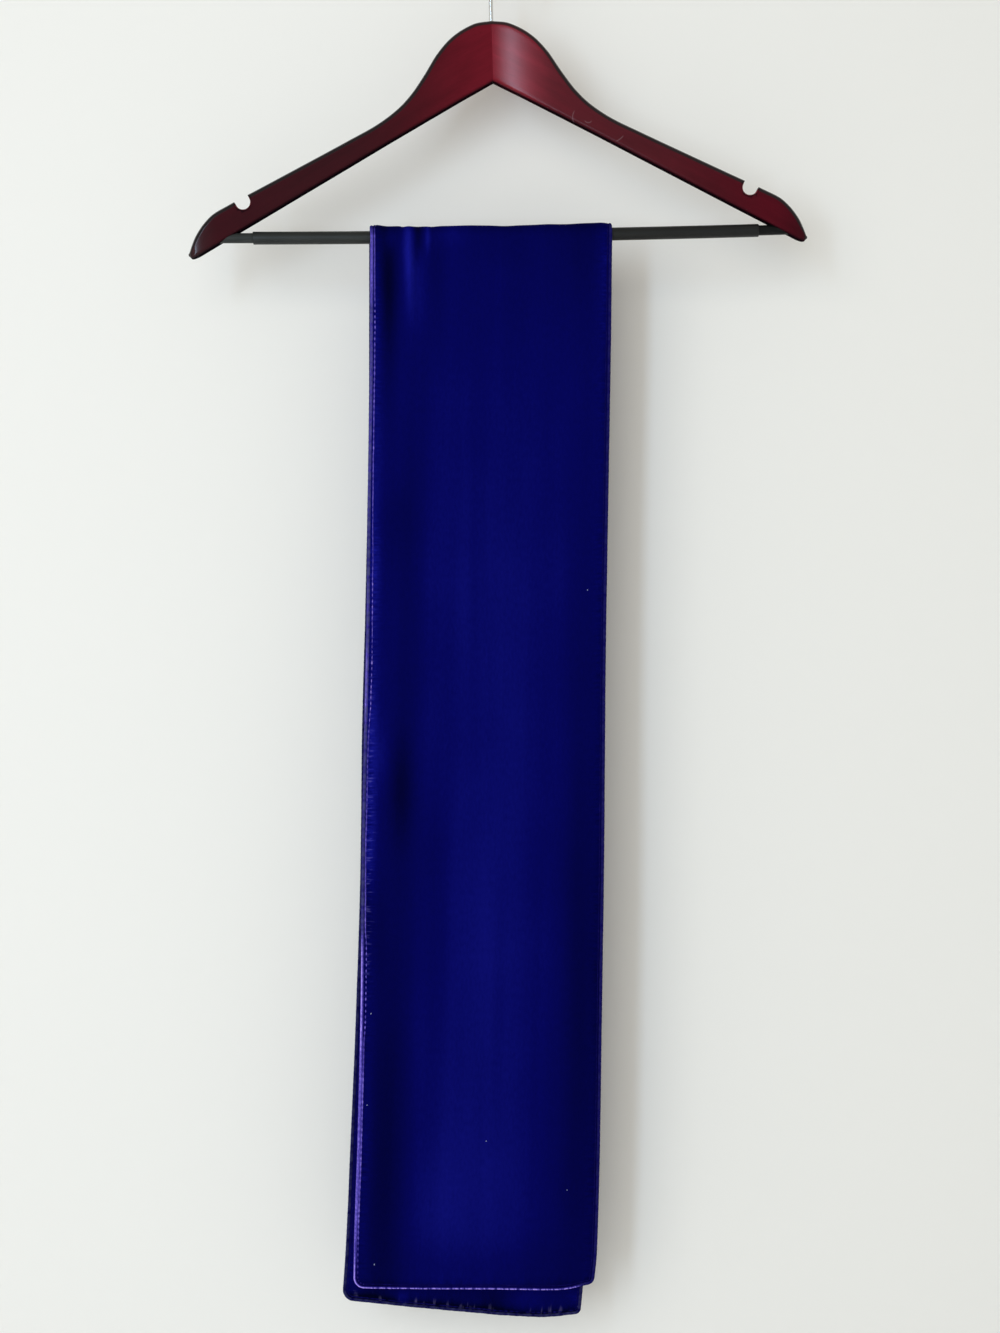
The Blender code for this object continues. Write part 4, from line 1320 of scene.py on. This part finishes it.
def joined(name, pieces):
    """Several mesh pieces as one, in a new mesh that holds all their points and faces."""
    points, corners, starts = [], [], []
    first_point = first_corner = 0
    for piece in pieces:
        mesh = piece.data
        co = np.zeros(len(mesh.vertices) * 3, dtype=np.float32)
        mesh.vertices.foreach_get("co", co)
        index = np.zeros(len(mesh.loops), dtype=np.int32)
        mesh.loops.foreach_get("vertex_index", index)
        start = np.zeros(len(mesh.polygons), dtype=np.int32)
        mesh.polygons.foreach_get("loop_start", start)
        points.append(co)
        corners.append(index + first_point)
        starts.append(start + first_corner)
        first_point += len(mesh.vertices)
        first_corner += len(mesh.loops)
    whole = bpy.data.meshes.new(name)
    whole.vertices.add(first_point)
    whole.vertices.foreach_set("co", np.concatenate(points))
    whole.loops.add(first_corner)
    whole.loops.foreach_set("vertex_index", np.concatenate(corners))
    starts = np.concatenate(starts)
    whole.polygons.add(len(starts))
    whole.polygons.foreach_set("loop_start", starts)
    whole.update(calc_edges=True)
    whole.shade_smooth()
    whole.materials.append(pieces[0].data.materials[0])
    for piece in pieces:
        bpy.data.objects.remove(piece, do_unlink=True)
    thing = bpy.data.objects.new(name, whole)
    bpy.context.scene.collection.objects.link(thing)
    return thing


def arm_sections(from_middle):
    """Sections across an arm, as depths and heights: rectangles whose corners are quarter ellipses, with a
    few points up each face. The upper corners are drawn out where the edge is steep, and so stay round. No
    corner takes more than its share of the thickness or of the height."""
    upper = table_curve(ARM_ROWS, ARM_COLUMNS, "upper_edge", from_middle)
    lower = table_curve(ARM_ROWS, ARM_COLUMNS, "lower_edge", from_middle)
    half = table_curve(ARM_ROWS, ARM_COLUMNS, "thickness", from_middle) / 2
    slope = np.minimum(np.abs(np.gradient(upper, from_middle)), STEEPEST_EDGE)
    room = upper - lower
    upper_round = np.minimum(UPPER_ROUND, half * 0.9)
    lower_round = np.minimum(LOWER_ROUND, half * 0.6)
    upper_rise = np.minimum(upper_round * np.hypot(1, slope), room * 0.5)
    lower_rise = np.minimum(lower_round * 1.15, room * 0.3)
    depths, heights = [], []
    for depth, height, across, rise, start in (
        (half - upper_round, upper - upper_rise, upper_round, upper_rise, 0),
        (-half + upper_round, upper - upper_rise, upper_round, upper_rise, 90),
        (-half + lower_round, lower + lower_rise, lower_round, lower_rise, 180),
        (half - lower_round, lower + lower_rise, lower_round, lower_rise, 270),
    ):
        angle = np.radians(start + np.linspace(0, 90, CORNER_STEPS + 1))[None, :]
        depths.append(depth[:, None] + across[:, None] * np.cos(angle))
        heights.append(height[:, None] + rise[:, None] * np.sin(angle))
        if start in (90, 270):
            foot = lower + lower_rise
            above = ((upper - upper_rise) - foot)[:, None] * np.array(FACE_SHARES)
            face = -half if start == 90 else half
            depths.append(np.repeat(face[:, None], len(FACE_SHARES), axis=1))
            heights.append(foot[:, None] + (above[:, ::-1] if start == 90 else above))
    return np.concatenate(depths, axis=1), np.concatenate(heights, axis=1)


def wooden_arm(name, side, material):
    """One wooden arm: its sections carried along the swept middle line, closer together towards the tip,
    whose last rings shrink along a quarter circle. Side is -1 for the left arm and 1 for the right one."""
    first, last = JOINT_GAP, ARM_ROWS[-1][0] * MM
    share = np.linspace(0, 1, ARM_STATIONS)
    places = first + (last - first) * (1 - (1 - share) ** CLOSER_TO_TIP)
    depths, heights = arm_sections(places)
    turn = np.linspace(0, math.pi / 2, TIP_STEPS + 1)[1:-1][:, None]
    middle_depth, middle_height = depths[-1].mean(), heights[-1].mean()
    depths = np.concatenate([depths, middle_depth + (depths[-1:] - middle_depth) * np.cos(turn)])
    heights = np.concatenate([heights, middle_height + (heights[-1:] - middle_height) * np.cos(turn)])
    places = np.concatenate([places, last + TIP_REACH * np.sin(turn[:, 0])])
    along = np.broadcast_to(places[:, None], depths.shape)
    points = np.stack([side * along, sweep(along) + depths, heights], axis=-1)
    uv = np.stack([along * GRAIN_STRETCH, heights + GRAIN_SLOPE * along + depths + side], axis=-1)
    uv = np.concatenate([uv, uv[:, :1]], axis=1)
    share = np.linspace(0, 1, CORNER_STEPS + 1)
    high, low = np.clip(share / UPPER_BAND, 0, 1), np.clip(share / LOWER_BAND, 0, 1) ** 2
    none, face = np.zeros(CORNER_STEPS + 1), np.zeros(len(FACE_SHARES))
    upper = np.concatenate([high, high[::-1], face, none, none, face])[None, :]
    lower = np.concatenate([none, none, face, low, low[::-1], face])[None, :]
    which = "left" if side < 0 else "right"
    own = table_curve(STAIN_AND_LIGHT_ROWS, STAIN_AND_LIGHT_COLUMNS, which, places)[:, None] / MM
    gloss = table_curve(STAIN_AND_LIGHT_ROWS, STAIN_AND_LIGHT_COLUMNS, which + "_gloss", places)[:, None] / MM
    # The stain value carries painted light by the neck and painted shade on the rims
    values = {
        "stain_light_and_shade": own * (1 - UPPER_RIM_SHADE * upper) * (1 - LOWER_RIM_SHADE * lower),
        "gloss": gloss + (UPPER_RIM_GLOSS - gloss) * upper - gloss * lower,
    }
    return skin(name, from_hanger(points), material, uv, wrap_columns=True, values=values)


def notch_cutter(side, material):
    """The strap notch's shape, right through the arm: a half circle with walls that open out, offset outwards
    along quarter circles where it meets the arm's faces, which softens the notch's rims."""
    angle = math.pi * (1 + np.linspace(0, 1, NOTCH_STEPS + 1))
    half = column(ARM_ROWS, ARM_COLUMNS, "thickness").max() * MM / 2
    turn = np.linspace(0, math.pi / 2, 6)
    front_depth = half - NOTCH_RIM * np.cos(turn)
    widening = NOTCH_RIM * (1 - np.sin(turn[::-1]))
    depths = np.concatenate([[-3 * half], -front_depth[::-1], front_depth, [3 * half]])
    widths = np.concatenate([[widening[-1]], widening[::-1], widening, [widening[-1]]])
    radius = (NOTCH_RADIUS + widths)[:, None]
    along = np.concatenate([radius * np.cos(angle), radius + NOTCH_FLARE, -radius - NOTCH_FLARE], axis=1)
    above_arm = np.full_like(radius, 3 * NOTCH_RADIUS)
    out = np.concatenate([radius * np.sin(angle), above_arm, above_arm], axis=1)
    across = along * math.cos(NOTCH_TURN) + out * math.sin(NOTCH_TURN)
    height = -along * math.sin(NOTCH_TURN) + out * math.cos(NOTCH_TURN)
    from_middle = NOTCH_FROM_MIDDLE + across
    depth = depths[:, None] + sweep(from_middle)
    points = np.stack([side * from_middle, depth, NOTCH_HEIGHT + height], axis=-1)
    return skin("notch_cutter", from_hanger(points), material, wrap_columns=True, values=CUT_LOOK)


def bar_hole_cutter(start, end, material):
    """The bar's hole in an arm, a little wider than the bar."""
    return rod("bar_hole_cutter", start, end, BAR_RADIUS + GAP, material, sides=24, rings=12, values=CUT_LOOK)


def rod(name, start, end, radius, material, sides, rings, values=None):
    """A round rod along the bar's axis: rings square to it."""
    along = np.linspace(start, end, rings)
    angle = np.arange(sides) * 2 * math.pi / sides
    ring = np.stack([np.zeros_like(angle), np.cos(angle), np.sin(angle)], axis=-1) * radius
    points = bar_centre(along)[:, None, :] + ring[None, :, :]
    return skin(name, from_hanger(points), material, wrap_columns=True, values=values)


def root_hole_cutter(material):
    """The hole for the hook's root, at the joint of the two arms."""
    angle = np.arange(24) * math.pi / 12
    height = np.array([HOOK_ROOT - GAP, ROOT_HOLE_TOP])[:, None]
    radius = WIRE_RADIUS + GAP
    ring = np.broadcast_arrays(radius * np.cos(angle)[None, :], radius * np.sin(angle)[None, :], height)
    points = from_hanger(np.stack(ring, axis=-1))
    return skin("root_hole_cutter", points, material, wrap_columns=True, values=CUT_LOOK)


def cut_out(piece, cutters):
    """Cut the cutters out of a piece, keep the result as its mesh, and remove them."""
    for cutter in cutters:
        boolean = piece.modifiers.new("cut", "BOOLEAN")
        boolean.operation = "DIFFERENCE"
        boolean.solver = "EXACT"
        boolean.object = cutter
    bpy.context.view_layer.update()
    seen = piece.evaluated_get(bpy.context.evaluated_depsgraph_get())
    mesh = bpy.data.meshes.new_from_object(seen)
    piece.modifiers.clear()
    piece.data = mesh
    mesh.shade_smooth()
    mesh.set_sharp_from_angle(angle=CUT_SHARP_ANGLE)
    for cutter in cutters:
        bpy.data.objects.remove(cutter, do_unlink=True)


def bar_sleeve_tube(material):
    """The sleeve on the bar: a profile of outside, rounded lips and bore, carried round the bar's axis."""
    turn = np.linspace(0, math.pi / 2, 5)
    lip_in, lip_out = SLEEVE_LIP * (1 - np.sin(turn)), SLEEVE_LIP * (1 - np.cos(turn))
    steps = np.linspace(SLEEVE_LEFT + SLEEVE_LIP, SLEEVE_RIGHT - SLEEVE_LIP, 110)
    through = np.linspace(SLEEVE_RIGHT, SLEEVE_LEFT, 12)
    along = np.concatenate([SLEEVE_LEFT + lip_in[:-1], steps, SLEEVE_RIGHT - lip_in[::-1][1:], through])
    radius = np.concatenate([
        SLEEVE_RADIUS - lip_out[::-1][:-1],
        np.full(len(steps), SLEEVE_RADIUS),
        SLEEVE_RADIUS - lip_out[1:],
        np.full(len(through), SLEEVE_BORE),
    ])
    angle = np.arange(40) * math.pi / 20
    ring = np.stack([np.zeros_like(angle), np.cos(angle), np.sin(angle)], axis=-1)
    points = bar_centre(along)[:, None, :] + ring[None, :, :] * radius[:, None, None]
    return skin("bar_sleeve_tube", from_hanger(points), material, wrap_rows=True, wrap_columns=True)


def hook_path():
    """The wire's middle line in the hanger's frame, as across and height: a stem, a turn to the right, then
    the loop over the top from the lower right to the left. The loop's inside touches the hanging point."""
    loop = HOOK_INSIDE_RADIUS + WIRE_RADIUS
    centre = HOOK_ABOVE_WOOD - HOOK_INSIDE_RADIUS
    turn = -HOOK_START
    bend = loop * math.cos(turn) / (1 - math.cos(turn))
    stem_top = centre - (loop + bend) * math.sin(turn)
    stem = np.stack([np.zeros(12), np.linspace(HOOK_ROOT, stem_top, 13)[:-1]], axis=-1)
    aside = np.linspace(0, turn, 31)[:-1]
    aside = np.stack([bend * (1 - np.cos(aside)), stem_top + bend * np.sin(aside)], axis=-1)
    over = np.linspace(HOOK_START, HOOK_END, 110)
    over = np.stack([loop * np.cos(over), centre + loop * np.sin(over)], axis=-1)
    return np.concatenate([stem, aside, over])


def wire_hook(material):
    """The wire hook: circles square to its middle line, with a rounded tip."""
    path = hook_path()
    ahead = np.gradient(path, axis=0)
    ahead /= np.linalg.norm(ahead, axis=1)[:, None]
    tip = np.radians(TIP_ANGLES)
    radii = np.concatenate([np.full(len(path), WIRE_RADIUS), WIRE_RADIUS * np.cos(tip)])
    path = np.concatenate([path, path[-1] + np.outer(WIRE_RADIUS * np.sin(tip), ahead[-1])])
    ahead = np.concatenate([ahead, np.repeat(ahead[-1:], len(tip), axis=0)])
    angle = np.arange(28) * math.pi / 14
    out = np.stack([ahead[:, 1], np.zeros(len(path)), -ahead[:, 0]], axis=-1)
    centre = np.stack([path[:, 0], np.zeros(len(path)), path[:, 1]], axis=-1)
    through = np.array([0.0, 1.0, 0.0])
    ring = np.cos(angle)[None, :, None] * out[:, None, :] + np.sin(angle)[None, :, None] * through
    points = centre[:, None, :] + ring * radii[:, None, None]
    return skin("wire_hook", from_hanger(points), material, wrap_columns=True)


def stage_plane(name, corners, material):
    """One flat four-cornered plane of the stage."""
    mesh = bpy.data.meshes.new(name)
    mesh.from_pydata(corners, [], [(0, 1, 2, 3)])
    mesh.materials.append(material)
    thing = bpy.data.objects.new(name, mesh)
    bpy.context.scene.collection.objects.link(thing)


def stage_material(name, colour, one_sided):
    """Plain matt paint. The backdrop is clear from behind, so that the part is seen from there as well."""
    material, tree, shader = new_material(name, colour, {"Roughness": 0.9, "Specular IOR Level": 0.0})
    if one_sided:
        clear = node(tree, "ShaderNodeBsdfTransparent").outputs[0]
        behind = node(tree, "ShaderNodeNewGeometry").outputs["Backfacing"]
        mix = node(tree, "ShaderNodeMixShader", {0: behind, 1: shader.outputs[0], 2: clear})
        tree.links.new(mix.outputs[0], tree.nodes["Material Output"].inputs["Surface"])
    return material


def make_stage():
    """A pale backdrop close behind the part and a pale floor well below it."""
    wide = STAGE_SIZE / 2
    upright = ((-wide, FLOOR_HEIGHT), (wide, FLOOR_HEIGHT), (wide, BACKDROP_TOP), (-wide, BACKDROP_TOP))
    wall = [(x, BACKDROP_DEPTH, z) for x, z in upright]
    ground = [(x, y, FLOOR_HEIGHT) for x, y in ((-wide, -wide), (wide, -wide), (wide, wide), (-wide, wide))]
    stage_plane("backdrop", wall, stage_material("backdrop_paint", BACKDROP_COLOUR, True))
    stage_plane("floor", ground, stage_material("floor_paint", FLOOR_COLOUR, False))


def make_light():
    """A tall cool window from the left, a wide warm glow from the front, and an even room light."""
    for row in LIGHT_ROWS:
        given = dict(zip(LIGHT_COLUMNS, row))
        azimuth, elevation = math.radians(given["azimuth"]), math.radians(given["elevation"])
        level = math.cos(elevation)
        towards = np.array([-math.sin(azimuth) * level, -math.cos(azimuth) * level, math.sin(elevation)])
        light = bpy.data.lights.new(given["name"], "AREA")
        light.shape = "RECTANGLE"
        light.size, light.size_y = given["width"], given["height"]
        light.energy = given["power"]
        light.color = given["colour"]
        lamp = bpy.data.objects.new(given["name"], light)
        lamp.location = np.array(MIDDLE) + towards * given["distance"]
        lamp.rotation_euler = (math.pi / 2 - elevation, 0, -azimuth)
        lamp.visible_glossy = given["mirrored"]
        bpy.context.scene.collection.objects.link(lamp)
    world = bpy.data.worlds.new("room")
    world.use_nodes = True
    background = world.node_tree.nodes["Background"]
    background.inputs["Color"].default_value = rgba(ROOM_COLOUR)
    background.inputs["Strength"].default_value = ROOM_LIGHT
    bpy.context.scene.world = world


def make_camera():
    """The camera at the photo's place: level, straight on, with the photo's field of view."""
    data = bpy.data.cameras.new("camera")
    data.sensor_fit = "AUTO"
    data.sensor_width = CAMERA_SENSOR
    data.lens = CAMERA_LENS
    camera = bpy.data.objects.new("camera", data)
    camera.location = CAMERA_PLACE
    camera.rotation_euler = (math.pi / 2, 0, 0)
    bpy.context.scene.collection.objects.link(camera)
    bpy.context.scene.camera = camera
    bpy.context.scene.view_settings.view_transform = "Standard"


def settle(piece, slot, *nodes):
    """Fix a piece to the part's one body and let it stand for its nodes. The slot is not used."""
    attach(piece, "root")
    if nodes:
        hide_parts(*nodes)
    return piece


def make_scarf():
    """The scarf with its edges and lint."""
    pile = pile_group()
    velvet, edge = velvet_material(pile), edge_material(pile)
    body = settle(velvet_scarf(velvet), "velvet", "velvet_outer", "velvet_under")
    roll = settle(edge_roll(edge), "velvet")
    ridge = settle(stitch_ridge(edge), "velvet")
    specks = settle(joined("lint", lint(lint_material())), "velvet")


def make_hanger():
    """The hanger: two wooden arms, the bar in its sleeve, and the wire hook."""
    marks = handling_group()
    lacquer, steel = lacquer_material(marks, scratch_group()), rod_material(marks)
    for side, name in ((-1, "left"), (1, "right")):
        arm = wooden_arm(f"wooden_arm_{name}", side, lacquer)
        hole = (BAR_LEFT - GAP, -HOLE_START) if side < 0 else (HOLE_START, BAR_RIGHT + GAP)
        cutters = [notch_cutter(side, lacquer), bar_hole_cutter(*hole, lacquer), root_hole_cutter(lacquer)]
        cut_out(arm, cutters)
        settle(arm, "lacquered_wood", f"arm_{name}")
    bar = rod("trouser_bar", BAR_LEFT, BAR_RIGHT, BAR_RADIUS, steel, sides=32, rings=60)
    settle(bar, "bar_paint", "bar_core")
    settle(bar_sleeve_tube(sleeve_material(marks)), "sleeve_rubber", "bar_sleeve")
    settle(wire_hook(chrome_material(marks)), "hook_chrome", "hook")


make_hanger()
make_scarf()
make_stage()
make_light()
make_camera()
